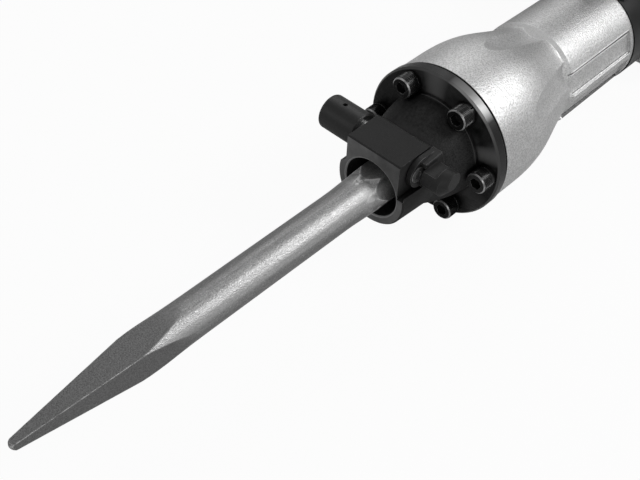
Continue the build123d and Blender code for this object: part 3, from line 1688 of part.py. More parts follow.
# Side handle: split band round the neck, drawn tight by a tee bolt that the grip turns on
band_x = band_start + band_width / 2
band_inner = band_seat_radius + band_gap
band_outer = band_inner + band_thickness
lug_top = band_outer + lug_height
pin_height = band_outer + lug_height * 0.55
with BuildPart() as handle_band:
    with BuildSketch(across(band_start)):
        Circle(band_outer)
        for side_y in (-1, 1):
            with Locations((side_y * (lug_gap + lug_thickness) / 2, (band_inner + lug_top) / 2)):
                Rectangle(lug_thickness, lug_top - band_inner)
        Circle(band_inner, mode=Mode.SUBTRACT)
        with Locations((0, band_inner)):
            Rectangle(lug_gap, 6 * band_thickness, mode=Mode.SUBTRACT)
    extrude(amount=band_width)
    with BuildSketch(beside(0)):
        with Locations((band_x, pin_height)):
            Circle(tee_radius + seat)
    extrude(amount=lug_gap + 2 * lug_thickness, both=True, mode=Mode.SUBTRACT)
handle_band.part.label = "handle_band"
export_step(handle_band.part, "parts/handle_band.step")

grip_foot = saddle_height + 0.3
grip_top = grip_foot + side_grip_length
stud_start = lug_top + 0.3
stud_end = grip_foot + 34.0
with BuildPart() as tee_bolt:
    with BuildSketch(barrel):
        with Locations((band_x, pin_height)):
            Circle(tee_radius)
    extrude(amount=lug_gap / 2 + lug_thickness + 1.4, both=True)
    with BuildSketch(barrel):
        with Locations((band_x, pin_height)):
            Circle(tee_radius + 3.4)
        with Locations((band_x, (pin_height + stud_start) / 2)):
            Rectangle(2 * stud_radius, stud_start - pin_height)
    extrude(amount=lug_gap / 2 - 0.1, both=True)
    with BuildSketch(level(stud_start)):
        with Locations((band_x, 0)):
            Circle(stud_radius)
    extrude(amount=stud_end - stud_start)
tee_bolt.part.label = "tee_bolt"
export_step(tee_bolt.part, "parts/tee_bolt.step")

with BuildPart() as handle_saddle:
    with BuildSketch(across(band_x - saddle_length / 2)):
        Polygon(
            (-saddle_half_width, band_outer * 0.8),
            (-saddle_half_width, saddle_height - 8),
            (-saddle_half_width + 7, saddle_height),
            (saddle_half_width - 7, saddle_height),
            (saddle_half_width, saddle_height - 8),
            (saddle_half_width, band_outer * 0.8),
            align=None,
        )
        Circle(band_outer + seat, mode=Mode.SUBTRACT)
        with Locations((0, band_outer)):
            Rectangle(lug_gap + 2 * lug_thickness + 4, 2 * (lug_height + 0.6), mode=Mode.SUBTRACT)
    extrude(amount=saddle_length)
    with BuildSketch(level(saddle_height)):
        with Locations((band_x, 0)):
            Circle(stud_radius + 0.25)
    extrude(amount=-10, mode=Mode.SUBTRACT)
handle_saddle.part.label = "handle_saddle"
export_step(handle_saddle.part, "parts/handle_saddle.step")

with BuildPart() as side_grip:
    with BuildSketch(upright(band_x, 0)):
        with BuildLine():
            Polyline(
                (0, grip_foot),
                (side_grip_radius + 4, grip_foot),
                (side_grip_radius + 8, grip_foot + 3),
                (side_grip_radius + 8, grip_foot + 7),
                (side_grip_radius + 1, grip_foot + 13),
            )
            Spline(
                (side_grip_radius + 1, grip_foot + 13),
                (side_grip_radius - 1, grip_foot + 30),
                (side_grip_radius + 1, grip_foot + side_grip_length * 0.5),
                (side_grip_radius - 0.5, grip_foot + side_grip_length * 0.78),
                (side_grip_radius + 3, grip_top - 8),
            )
            ThreePointArc(
                (side_grip_radius + 3, grip_top - 8),
                (side_grip_radius + 1.2, grip_top - 2),
                (side_grip_radius - 4, grip_top),
            )
            Polyline((side_grip_radius - 4, grip_top), (0, grip_top), (0, grip_foot))
        make_face()
    revolve(axis=Axis((x0 + band_x, axis_y, axis_z), (0, 0, 1)))
    with BuildSketch(level(grip_foot)):
        with Locations((band_x, 0)):
            Circle(stud_radius + run)
    extrude(amount=stud_end - grip_foot + 2, mode=Mode.SUBTRACT)
side_grip.part.label = "side_grip"
export_step(side_grip.part, "parts/side_grip.step")
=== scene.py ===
"""Looks of an electric chipping hammer: finishes, surface detail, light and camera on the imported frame.

The frame is in metres. The barrel lies along X with the chisel's tip towards -X.
"""
import json
from math import cos, pi, radians, sin, sqrt

import bpy
from mathutils import Euler, Matrix, Vector


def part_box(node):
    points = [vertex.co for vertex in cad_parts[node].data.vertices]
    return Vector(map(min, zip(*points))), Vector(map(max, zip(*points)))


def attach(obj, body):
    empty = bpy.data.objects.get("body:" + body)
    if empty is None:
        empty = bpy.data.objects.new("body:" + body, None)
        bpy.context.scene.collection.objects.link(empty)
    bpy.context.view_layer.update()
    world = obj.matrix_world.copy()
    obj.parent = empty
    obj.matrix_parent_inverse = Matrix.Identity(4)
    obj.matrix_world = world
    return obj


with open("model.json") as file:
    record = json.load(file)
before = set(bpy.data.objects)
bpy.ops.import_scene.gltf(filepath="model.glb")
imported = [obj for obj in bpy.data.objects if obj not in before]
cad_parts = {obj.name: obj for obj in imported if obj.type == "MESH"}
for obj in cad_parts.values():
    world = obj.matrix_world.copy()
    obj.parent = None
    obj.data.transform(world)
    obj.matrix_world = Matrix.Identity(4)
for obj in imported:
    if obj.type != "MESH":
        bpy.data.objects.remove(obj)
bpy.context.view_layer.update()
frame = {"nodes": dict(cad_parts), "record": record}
nodes = frame["nodes"]
scene = bpy.context.scene
scene.view_settings.view_transform = "Standard"

# Places that the finishes and the added detail are worked out from
cover_low, cover_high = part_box("front_cover")
chisel_low, chisel_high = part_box("chisel")
cover_screws_low, cover_screws_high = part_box("front_cover_screws")
case_bolts_low, case_bolts_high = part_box("case_bolts")
side_grip_low, side_grip_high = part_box("side_grip")
handle_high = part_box("handle_upper_half")[1]
trigger_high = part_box("trigger")[1]
barrel = Vector((0.0, (cover_low.y + cover_high.y) / 2, (cover_low.z + cover_high.z) / 2))


# Sums and mixes that the node trees are made of


def add(tree, kind, values=None, **settings):
    """Adds a node to a tree, sets its options, and sets or links its inputs."""
    made = tree.nodes.new(kind)
    for key, value in settings.items():
        setattr(made, key, value)
    for key, value in (values or {}).items():
        if isinstance(value, bpy.types.NodeSocket):
            tree.links.new(value, made.inputs[key])
        else:
            made.inputs[key].default_value = value
    return made


def maths(tree, operation, first, second=0.0):
    """One sum on two values."""
    return add(tree, "ShaderNodeMath", {0: first, 1: second}, operation=operation).outputs[0]


def vector_maths(tree, operation, first, second=(0.0, 0.0, 0.0)):
    """One sum on two vectors, given as the node's outputs."""
    return add(tree, "ShaderNodeVectorMath", {0: first, 1: second}, operation=operation).outputs


def product(tree, first, *others):
    """Multiplies values with one another."""
    for other in others:
        first = maths(tree, "MULTIPLY", first, other)
    return first


def spread(tree, value, low, high, to_low=0.0, to_high=1.0):
    """Stretches a value from one range to another, and holds it at the ends."""
    ranges = {"Value": value, "From Min": low, "From Max": high, "To Min": to_low, "To Max": to_high}
    return add(tree, "ShaderNodeMapRange", ranges).outputs[0]


def past(tree, value, edge, soft):
    """1 past an edge and 0 before it, changing over a soft stretch to both sides of the edge."""
    return spread(tree, value, edge - soft, edge + soft)


def short_of(tree, value, edge, soft):
    """1 before an edge and 0 past it, changing over a soft stretch to both sides of the edge."""
    return spread(tree, value, edge + soft, edge - soft)


def between(tree, value, low, high, soft=0.0002):
    """1 inside a range and 0 outside it, with soft ends."""
    return product(tree, spread(tree, value, low - soft, low), spread(tree, value, high + soft, high))


def bands(tree, *ranges):
    """1 where any of some values lies inside its range, and 0 elsewhere."""
    total = 0.0
    for value, low, high in ranges:
        total = maths(tree, "ADD", total, between(tree, value, low, high))
    return total


def grey(level):
    """A neutral colour of that level."""
    return (level, level, level, 1.0)


def tint(tree, share, first, second):
    """Mixes two colours by a share from 0 to 1."""
    colours = {0: share, 6: first, 7: second}
    return add(tree, "ShaderNodeMix", colours, data_type="RGBA").outputs[2]


def layered(tree, base, layers):
    """Lays colours over a base one after another, each by its share from 0 to 1."""
    for share, colour in layers:
        base = tint(tree, share, base, colour)
    return base


# Places about the barrel, for finishes that follow a piece's shape


def barrel_place(tree, place):
    """A point's X, Y and Z from the barrel's axis, and its distance from that axis."""
    centred = vector_maths(tree, "SUBTRACT", place, barrel)["Vector"]
    across = vector_maths(tree, "MULTIPLY", centred, (0.0, 1.0, 1.0))["Vector"]
    parts = add(tree, "ShaderNodeSeparateXYZ", {0: centred}).outputs
    return parts, vector_maths(tree, "LENGTH", across)["Value"]


def towards(tree, parts, radius, angle):
    """1 where a point lies at that angle about the barrel, in degrees, and 0 at a right angle to it."""
    sideways = product(tree, parts["Y"], cos(radians(angle)))
    upward = product(tree, parts["Z"], sin(radians(angle)))
    return maths(tree, "DIVIDE", maths(tree, "ADD", sideways, upward), radius)


def sector(tree, parts, radius, centre, outer, inner):
    """1 within an inner angle of a centre line about the barrel, fading to 0 at an outer one."""
    return spread(tree, towards(tree, parts, radius, centre), cos(radians(outer)), cos(radians(inner)))


# Surface effects that the finishes are built from


def effect(name, inputs, outputs):
    """Starts a shader node group with named inputs and outputs."""
    tree = bpy.data.node_groups.new(name, "ShaderNodeTree")
    for label, kind, value in inputs:
        socket = tree.interface.new_socket(label, in_out="INPUT", socket_type=kind)
        if value is not None:
            socket.default_value = value
    for label, kind in outputs:
        tree.interface.new_socket(label, in_out="OUTPUT", socket_type=kind)
    return tree, tree.nodes.new("NodeGroupInput").outputs, tree.nodes.new("NodeGroupOutput").inputs


def make_edge_rub():
    """Rounds the edges a little, and marks where the outer ones are rubbed."""
    tree, given, result = effect(
        "edge_rub",
        [("Place", "NodeSocketVector", None), ("Radius", "NodeSocketFloat", 0.0006)],
        [("Mask", "NodeSocketFloat"), ("Normal", "NodeSocketVector")],
    )
    rounded = add(tree, "ShaderNodeBevel", {"Radius": given["Radius"]}, samples=6).outputs["Normal"]
    flat = add(tree, "ShaderNodeNewGeometry").outputs["Normal"]
    edge = spread(tree, vector_maths(tree, "DOT_PRODUCT", rounded, flat)["Value"], 0.97, 0.80)
    patches = add(tree, "ShaderNodeTexNoise", {"Vector": given["Place"], "Scale": 260.0, "Detail": 3.0})
    broken = spread(tree, patches.outputs["Fac"], 0.34, 0.56)
    corner = add(tree, "ShaderNodeAmbientOcclusion", {"Distance": 0.003}, samples=8).outputs["AO"]
    outer = spread(tree, corner, 0.55, 0.80)
    tree.links.new(product(tree, edge, broken, outer), result["Mask"])
    tree.links.new(rounded, result["Normal"])
    return tree


def make_grain():
    """Fine pitted grain: a height, and scattered flecks that catch the light."""
    tree, given, result = effect(
        "grain",
        [("Place", "NodeSocketVector", None), ("Scale", "NodeSocketFloat", 1400.0)],
        [("Height", "NodeSocketFloat"), ("Fleck", "NodeSocketFloat")],
    )
    noise_share = 0.65
    pit_share = 0.35
    at_scale = {"Vector": given["Place"], "Scale": given["Scale"]}
    noise = add(tree, "ShaderNodeTexNoise", {**at_scale, "Detail": 3.0, "Roughness": 0.65}).outputs["Fac"]
    cells = add(tree, "ShaderNodeTexVoronoi", at_scale).outputs
    pits = spread(tree, cells["Distance"], 0.0, 0.7)
    height = maths(tree, "ADD", product(tree, noise, noise_share), product(tree, pits, pit_share))
    chance = add(tree, "ShaderNodeSeparateColor", {"Color": cells["Color"]}).outputs["Red"]
    picked = maths(tree, "GREATER_THAN", chance, 0.90)
    centre = spread(tree, cells["Distance"], 0.45, 0.15)
    tree.links.new(height, result["Height"])
    tree.links.new(product(tree, picked, centre), result["Fleck"])
    return tree


def make_handling():
    """Uneven patches, as handling and oil leave them."""
    tree, given, result = effect(
        "handling",
        [("Place", "NodeSocketVector", None), ("Scale", "NodeSocketFloat", 30.0)],
        [("Patch", "NodeSocketFloat")],
    )
    broad = {"Vector": given["Place"], "Scale": given["Scale"], "Detail": 5.0, "Roughness": 0.6}
    noise = add(tree, "ShaderNodeTexNoise", broad).outputs["Fac"]
    tree.links.new(spread(tree, noise, 0.32, 0.68), result["Patch"])
    return tree


def make_turning():
    """Tool marks of a piece that was turned about the barrel's axis."""
    tree, given, result = effect(
        "turning",
        [("Place", "NodeSocketVector", None), ("Pitch", "NodeSocketFloat", 0.0011)],
        [("Height", "NodeSocketFloat")],
    )
    parts, radius = barrel_place(tree, given["Place"])
    turns = maths(tree, "DIVIDE", maths(tree, "ADD", radius, parts["X"]), given["Pitch"])
    wave = maths(tree, "SINE", product(tree, turns, 2 * pi))
    uneven = add(tree, "ShaderNodeTexNoise", {"Vector": given["Place"], "Scale": 90.0, "Detail": 2.0})
    tree.links.new(product(tree, wave, uneven.outputs["Fac"]), result["Height"])
    return tree


edge_rub = make_edge_rub()
grain = make_grain()
handling = make_handling()
turning = make_turning()


# Finishes


def place_effect(tree, group, **values):
    """Puts an effect into a material and returns its outputs."""
    return add(tree, "ShaderNodeGroup", values, node_tree=group).outputs


def new_finish(name, metallic=0.0):
    """Starts a material and returns it with its tree, its shader and the object's own coordinates."""
    made = bpy.data.materials.new(name)
    made.use_nodes = True
    tree = made.node_tree
    shader = tree.nodes["Principled BSDF"]
    shader.inputs["Metallic"].default_value = metallic
    return made, tree, shader, add(tree, "ShaderNodeTexCoord").outputs["Object"]


def dress(tree, shader, base, rough, height, normal, depth):
    """Gives a shader its colour, its roughness and a relief of that depth."""
    relief = add(tree, "ShaderNodeBump", {"Height": height, "Normal": normal, "Distance": depth})
    tree.links.new(base, shader.inputs["Base Color"])
    tree.links.new(rough, shader.inputs["Roughness"])
    tree.links.new(relief.outputs["Normal"], shader.inputs["Normal"])


def facing(tree, axis):
    """How far a surface faces along one of the object's axes, from -1 to 1."""
    normal = add(tree, "ShaderNodeTexCoord").outputs["Normal"]
    return add(tree, "ShaderNodeSeparateXYZ", {0: normal}).outputs[axis]


def surface_finish(
    name, colour, rubbed, rough, metallic=0.0, scale=1400.0, depth=0.00008, rub=0.0006, shine=0.4
):
    """A coated, moulded or machined surface with grain, handling marks and rubbed edges."""
    made, tree, shader, place = new_finish(name, metallic)
    colour_swing = 0.18
    rough_swing = 0.06
    rubbed_share = 0.7
    pitted = place_effect(tree, grain, Place=place, Scale=scale)
    worn = place_effect(tree, edge_rub, Place=place, Radius=rub)
    patch = place_effect(tree, handling, Place=place)["Patch"]
    darker = tuple((1 - colour_swing) * part for part in colour[:3]) + (1.0,)
    lighter = tuple((1 + colour_swing) * part for part in colour[:3]) + (1.0,)
    base = tint(tree, patch, darker, lighter)
    base = tint(tree, product(tree, worn["Mask"], rubbed_share), base, rubbed)
    roughness = spread(tree, patch, 0.0, 1.0, rough - rough_swing, rough + rough_swing)
    dress(tree, shader, base, roughness, pitted["Height"], worn["Normal"], depth)
    shader.inputs["Specular IOR Level"].default_value = shine
    return made


def make_screw_oxide(name, axis):
    """Blackened screws along one axis, bright where the bevel round the head is rubbed."""
    made, tree, shader, place = new_finish(name, metallic=0.75)
    pitted = place_effect(tree, grain, Place=place, Scale=2200.0)
    worn = place_effect(tree, edge_rub, Place=place, Radius=0.0005)
    patch = place_effect(tree, handling, Place=place, Scale=160.0)["Patch"]
    slope = maths(tree, "ABSOLUTE", facing(tree, axis))
    bevel = product(tree, spread(tree, slope, 0.50, 0.62), spread(tree, slope, 0.90, 0.80))
    base = layered(
        tree,
        tint(tree, patch, grey(0.016), grey(0.030)),
        [
            (product(tree, worn["Mask"], 0.8), grey(0.24)),
            (product(tree, bevel, spread(tree, patch, 0.1, 0.6, 0.3, 1.0)), grey(0.38)),
        ],
    )
    roughness = spread(tree, patch, 0.0, 1.0, 0.24, 0.36)
    dress(tree, shader, base, roughness, pitted["Height"], worn["Normal"], depth=0.00003)
    return made


def make_blasted_steel():
    """Forged chisel: speckled bright shaft, matt ground faces on the point, bright worn edges, painted
    shade and light.
    """
    made, tree, shader, place = new_finish("blasted_steel", metallic=0.85)
    tip_half_side = 0.0036 / sqrt(2)
    taper = 0.131 / sqrt(2)
    face_gap = 0.00025
    ground_length = 0.12
    hex_half = (chisel_high.z - chisel_low.z) / 2
    flat_gap = 0.000125
    flare_start = cover_low.x - 0.020
    pitted = place_effect(tree, grain, Place=place, Scale=1050.0)
    worn = place_effect(tree, edge_rub, Place=place, Radius=0.0012)
    mottle = place_effect(tree, handling, Place=place, Scale=330.0)["Patch"]
    drawn = add(tree, "ShaderNodeMapping", {"Vector": place, "Scale": (14.0, 260.0, 260.0)})
    along_shaft = {"Vector": drawn.outputs["Vector"], "Scale": 1.0, "Detail": 4.0}
    streak = add(tree, "ShaderNodeTexNoise", along_shaft).outputs["Fac"]
    parts, radius = barrel_place(tree, place)
    beside = maths(tree, "ABSOLUTE", parts["Y"])
    above = maths(tree, "ABSOLUTE", parts["Z"])

    # Ground faces: where the distance from the axis follows the point's taper
    from_tip = maths(tree, "SUBTRACT", parts["X"], chisel_low.x)
    half_side = maths(tree, "ADD", product(tree, from_tip, taper), tip_half_side)
    inside = maths(tree, "SUBTRACT", half_side, maths(tree, "MAXIMUM", beside, above))
    ground = product(
        tree,
        short_of(tree, inside, face_gap, soft=0.00015),
        short_of(tree, from_tip, ground_length, soft=0.01),
    )
    ground_tone = tint(tree, spread(tree, pitted["Height"], 0.3, 0.7), grey(0.13), grey(0.23))

    # Painted shade away from the side facing up and to -Y, and a painted light line along that side
    painted_far_shade = spread(tree, towards(tree, parts, radius, 135.0), 0.92, 0.65, 0.0, 0.5)
    painted_light_line = spread(tree, towards(tree, parts, radius, 147.0), 0.95, 0.99, 0.0, 0.3)

    # Flare where the shaft meets the hexagon: lighter metal, partly painted highlight; painted highlight
    # line by the flats
    slanted = maths(tree, "ADD", product(tree, beside, sqrt(3) / 2), product(tree, above, 0.5))
    off_flat = maths(tree, "SUBTRACT", maths(tree, "MAXIMUM", slanted, above), hex_half)
    rounded = past(tree, maths(tree, "ABSOLUTE", off_flat), flat_gap, soft=0.000075)
    flare = product(tree, past(tree, parts["X"], flare_start, soft=0.004), rounded)
    painted_shoulder_highlight = product(
        tree,
        flare,
        between(tree, off_flat, -0.0004, -0.0002, soft=0.0001),
        spread(tree, mottle, 0.2, 0.5),
    )

    base = layered(
        tree,
        tint(tree, spread(tree, streak, 0.3, 0.7), grey(0.32), grey(0.52)),
        [
            (spread(tree, pitted["Height"], 0.75, 0.25), grey(0.18)),
            (pitted["Fleck"], grey(0.80)),
            # painted shade on the far side, then a painted light line
            (painted_far_shade, grey(0.15)),
            (painted_light_line, grey(0.75)),
            # lighter forged flare, partly a painted highlight, then a painted highlight line by the flats
            (product(tree, flare, mottle, 0.45), grey(0.66)),
            (product(tree, painted_shoulder_highlight, 0.6), grey(0.85)),
            (ground, ground_tone),
            (worn["Mask"], grey(0.75)),
        ],
    )
    roughness = spread(tree, ground, 0.0, 1.0, 0.44, 0.62)
    dress(tree, shader, base, roughness, pitted["Height"], worn["Normal"], depth=0.00022)
    return made


def make_silver_casting():
    """Shot-blasted aluminium casting whose grain sparkles."""
    made, tree, shader, place = new_finish("silver_casting", metallic=0.9)
    neck_start = cover_high.x + 0.1072
    neck_radius = 0.0432
    panel_angle = radians(30.5)
    panel_start = neck_start + 0.001
    panel_end = cover_high.x + 0.185
    groove_width = 0.0018
    rib_half = 0.003
    joint_end = cover_high.x + 0.00265
    pitted = place_effect(tree, grain, Place=place, Scale=820.0)
    worn = place_effect(tree, edge_rub, Place=place, Radius=0.0008)
    patch = place_effect(tree, handling, Place=place, Scale=18.0)["Patch"]
    parts, radius = barrel_place(tree, place)
    along = parts["X"]
    level = parts["Z"]

    # Slope up to the neck, painted lighter on its top side as if lit
    slope_gap = maths(tree, "SUBTRACT", maths(tree, "SUBTRACT", radius, along), neck_radius - neck_start)
    slope = product(
        tree,
        between(tree, slope_gap, -0.0003, 0.0003),
        short_of(tree, along, neck_start + 0.0002, soft=0.0002),
    )
    upper = spread(tree, level, 0.024, 0.038, 0.0, 0.5)

    # Groove along each side panel: painted shade inside it and painted highlights along both edges
    # Rib between two panels: a painted highlight along its top edge, and painted shade beside both edges
    sideways = product(tree, maths(tree, "ABSOLUTE", parts["Y"]), sin(panel_angle))
    upward = product(tree, maths(tree, "ABSOLUTE", level), cos(panel_angle))
    below = maths(tree, "SUBTRACT", sideways, upward)
    on_panel = between(tree, along, panel_start, panel_end)
    painted_highlight_lines = bands(
        tree,
        (below, -0.0012, -0.0002),
        (below, groove_width + 0.0004, groove_width + 0.0012),
        (level, rib_half - 0.0001, rib_half + 0.0001),
    )
    painted_shade_lines = bands(tree, (below, 0.0, groove_width), (level, rib_half + 0.0005, rib_half + 0.0010))
    painted_rib_shade = product(tree, between(tree, level, -rib_half - 0.0015, -rib_half + 0.0003), 0.75)
    painted_shade_lines = maths(tree, "ADD", painted_shade_lines, painted_rib_shade)

    # The last layer is the dark joint at the front cover
    base = layered(
        tree,
        tint(tree, patch, grey(0.66), grey(0.76)),
        [
            (spread(tree, pitted["Height"], 0.75, 0.25), grey(0.36)),
            (pitted["Fleck"], grey(0.92)),
            (product(tree, worn["Mask"], 0.4), grey(0.90)),
            # painted light on the slope's top side
            (product(tree, slope, upper), grey(0.95)),
            # painted highlights, then painted shade, along the grooves and the rib
            (product(tree, painted_highlight_lines, on_panel), grey(0.97)),
            (product(tree, painted_shade_lines, on_panel), grey(0.07)),
            (short_of(tree, along, joint_end, soft=0.00025), grey(0.02)),
        ],
    )
    roughness = spread(tree, pitted["Height"], 0.25, 0.75, 0.54, 0.38)
    dress(tree, shader, base, roughness, pitted["Height"], worn["Normal"], depth=0.0004)
    return made


def make_black_casting():
    """Black enamel over a turned casting, with fine grain, bare satin rims, thin bright edges, painted
    reflections and painted shade.
    """
    made, tree, shader, place = new_finish("black_casting")
    nose_end = cover_low.x + 0.036
    mouth_bevel_radius = 0.02385
    mouth_bevel_end = cover_low.x + 0.0012
    flange_front = cover_high.x - 0.008
    hub_front = flange_front - 0.0023
    hub_radius = 0.04015
    rim_inner = (cover_high.y - cover_low.y) / 2 - 0.0014
    chamfer_end = flange_front + 0.0014
    cover_end = cover_high.x + 0.0015
    pitted = place_effect(tree, grain, Place=place, Scale=1700.0)
    rings = place_effect(tree, turning, Place=place)
    worn = place_effect(tree, edge_rub, Place=place, Radius=0.0006)
    patch = place_effect(tree, handling, Place=place)["Patch"]
    mottle = place_effect(tree, handling, Place=place, Scale=420.0)["Patch"]
    crackle = place_effect(tree, handling, Place=place, Scale=1100.0)["Patch"]
    parts, radius = barrel_place(tree, place)
    along = parts["X"]

    # The crank cover has this finish too, but no painted reflections on the flange and no bare rim
    on_cover = short_of(tree, along, cover_end, soft=0.0005)

    # Painted reflections on the flange, fan-shaped as a turned face throws them
    painted_fans = maths(
        tree,
        "MAXIMUM",
        sector(tree, parts, radius, centre=85.0, outer=12.0, inner=1.0),
        sector(tree, parts, radius, centre=160.0, outer=9.0, inner=1.0),
    )
    painted_faint_fan = product(tree, sector(tree, parts, radius, centre=215.0, outer=14.0, inner=3.0), 0.3)
    painted_fans = product(tree, maths(tree, "MAXIMUM", painted_fans, painted_faint_fan), on_cover)

    # Mottled dome, paler with a crackle pattern on the side towards 160 degrees, with a worn edge round
    # its foot
    dome = product(
        tree,
        short_of(tree, radius, hub_radius, soft=0.00035),
        short_of(tree, along, flange_front, soft=0.0005),
    )
    crackled = product(
        tree,
        sector(tree, parts, radius, centre=160.0, outer=65.0, inner=10.0),
        spread(tree, crackle, 0.1, 0.9),
    )
    dome_tone = tint(tree, crackled, tint(tree, mottle, grey(0.002), grey(0.016)), grey(0.036))
    hub_edge = product(
        tree,
        between(tree, along, hub_front - 0.0003, hub_front + 0.0002),
        past(tree, radius, hub_radius - 0.00085, soft=0.0003),
        spread(tree, mottle, 0.0, 0.5, 0.4, 1.0),
    )

    # Nose and block: rougher and paler than the flange, with painted light on the faces that look along -X
    nose = short_of(tree, along, nose_end, soft=0.004)
    nose_tone = tint(tree, patch, grey(0.017), grey(0.023))
    painted_front_light = product(
        tree, spread(tree, facing(tree, "X"), -0.85, -0.98), nose, spread(tree, patch, 0.1, 0.9, 0.4, 1.0)
    )

    # Bare satin metal on the flange's rim, with a painted highlight on one stretch of it, and on the bevel
    # round the mouth
    rim = product(tree, past(tree, radius, rim_inner, soft=0.0002), on_cover)
    chamfer = short_of(tree, along, chamfer_end, soft=0.0002)
    painted_rim_highlight = sector(tree, parts, radius, centre=115.0, outer=20.0, inner=9.0)
    rim_tone_with_highlight = tint(tree, painted_rim_highlight, tint(tree, chamfer, grey(0.035), grey(0.08)), grey(0.28))
    bevel = product(
        tree,
        short_of(tree, radius, mouth_bevel_radius, soft=0.00025),
        short_of(tree, along, mouth_bevel_end, soft=0.0003),
    )

    # Painted shade: darker in the corners that ambient occlusion finds
    corner = add(tree, "ShaderNodeAmbientOcclusion", {"Distance": 0.004}, samples=8).outputs["AO"]
    painted_corner_shade = spread(tree, corner, 0.80, 0.50)

    base = layered(
        tree,
        tint(tree, spread(tree, patch, 0.45, 0.95), grey(0.003), grey(0.035)),
        [
            # painted reflections on the flange
            (product(tree, painted_fans, 0.9), grey(0.10)),
            (dome, dome_tone),
            (hub_edge, grey(0.10)),
            (nose, nose_tone),
            # painted light on the front faces
            (painted_front_light, grey(0.14)),
            (product(tree, pitted["Fleck"], 0.25), grey(0.10)),
            # bare rim with its painted highlight
            (rim, rim_tone_with_highlight),
            (bevel, grey(0.40)),
            (product(tree, worn["Mask"], spread(tree, mottle, 0.3, 0.7)), grey(0.16)),
            # painted shade in the corners
            (painted_corner_shade, grey(0.001)),
        ],
    )
    gloss = spread(tree, patch, 0.0, 1.0, 0.28, 0.40)
    matt = product(tree, maths(tree, "MAXIMUM", nose, dome), 0.28)
    height = maths(tree, "ADD", pitted["Height"], rings["Height"])
    dress(tree, shader, base, maths(tree, "ADD", gloss, matt), height, worn["Normal"], depth=0.00006)
    bare = maths(tree, "MAXIMUM", rim, bevel)
    tree.links.new(product(tree, bare, 0.8), shader.inputs["Metallic"])
    shader.inputs["Specular IOR Level"].default_value = 0.18
    return made


# Plain finishes, in the words of surface_finish
plain_finishes = {
    "bright_steel": dict(
        colour=grey(0.55), rubbed=grey(0.80), rough=0.24, metallic=1.0,
        scale=2600.0, depth=0.00002, rub=0.0004,
    ),
    "machine_steel": dict(
        colour=grey(0.36), rubbed=grey(0.60), rough=0.34, metallic=1.0,
        scale=2400.0, depth=0.00003, rub=0.0004,
    ),
    "band_steel": dict(
        colour=grey(0.014), rubbed=grey(0.25), rough=0.36, metallic=0.4,
        scale=2200.0, depth=0.00004, rub=0.0005,
    ),
    "knurl_oxide": dict(
        colour=grey(0.020), rubbed=grey(0.10), rough=0.26, metallic=0.75,
        scale=2200.0, depth=0.00003, rub=0.0001,
    ),
    "rubbed_pin": dict(
        colour=grey(0.06), rubbed=grey(0.55), rough=0.42,
        scale=900.0, depth=0.00010, rub=0.0009, shine=0.3,
    ),
    "rough_black": dict(
        colour=grey(0.013), rubbed=grey(0.28), rough=0.52,
        scale=900.0, depth=0.00014, rub=0.0007, shine=0.3,
    ),
    "dark_knob": dict(
        colour=grey(0.017), rubbed=grey(0.30), rough=0.42, scale=2000.0, depth=0.00004, shine=0.3,
    ),
    "cast_iron": dict(
        colour=grey(0.07), rubbed=grey(0.25), rough=0.55, metallic=0.7, scale=1500.0, depth=0.00010,
    ),
    "copper": dict(
        colour=(0.42, 0.15, 0.055, 1.0), rubbed=(0.75, 0.35, 0.18, 1.0), rough=0.35, metallic=0.9,
        scale=900.0,
    ),
    "brass": dict(
        colour=(0.45, 0.30, 0.09, 1.0), rubbed=(0.75, 0.58, 0.25, 1.0), rough=0.30, metallic=1.0,
        scale=2400.0, depth=0.00003,
    ),
    "carbon": dict(
        colour=grey(0.018), rubbed=grey(0.08), rough=0.6, scale=2400.0, depth=0.00006,
    ),
    "gasket_sheet": dict(
        colour=(0.024, 0.021, 0.019, 1.0), rubbed=grey(0.06), rough=0.75, scale=1800.0,
    ),
    "black_rubber": dict(
        colour=grey(0.011), rubbed=grey(0.035), rough=0.62, scale=1600.0, depth=0.00006, rub=0.0008,
    ),
    "black_plastic": dict(
        colour=grey(0.013), rubbed=grey(0.05), rough=0.46, scale=1500.0, depth=0.00009, rub=0.0008,
    ),
    "grey_plastic": dict(
        colour=(0.042, 0.044, 0.048, 1.0), rubbed=grey(0.11), rough=0.46, scale=1500.0, depth=0.00008,
    ),
}
finishes = {name: surface_finish(name, **look) for name, look in plain_finishes.items()}
finishes["blasted_steel"] = make_blasted_steel()
finishes["silver_casting"] = make_silver_casting()
finishes["black_casting"] = make_black_casting()

# Nodes whose finish differs from that of their slot, with the screws by the axis that they lie along
node_finishes = {"retainer_arm": finishes["rough_black"], "arm_pin": finishes["rubbed_pin"]}
screw_axes = {
    "X": ("front_cover_screws", "spring_washers", "case_bolts"),
    "Y": ("crank_cover_screws", "gear_cover_screws", "motor_screws", "tail_screws"),
    "Z": ("handle_screws",),
}
for axis, names in screw_axes.items():
    screw_oxide = make_screw_oxide("black_oxide_" + axis.lower(), axis)
    for name in names:
        node_finishes[name] = screw_oxide
for entry in frame["record"]["subparts"]:
    node = entry["node"]
    finish = node_finishes[node] if node in node_finishes else finishes[entry["material_slot"]]
    for slot in nodes[node].material_slots:
        slot.material = finish


# Detail that is too small for the solids, grown with Geometry Nodes


def geometry_tree(name, inputs):
    """Starts a Geometry Nodes tree with named inputs."""
    tree = bpy.data.node_groups.new(name, "GeometryNodeTree")
    tree.interface.new_socket("Geometry", in_out="OUTPUT", socket_type="NodeSocketGeometry")
    for label, kind in inputs:
        tree.interface.new_socket(label, in_out="INPUT", socket_type=kind)
    return tree, tree.nodes.new("NodeGroupInput").outputs


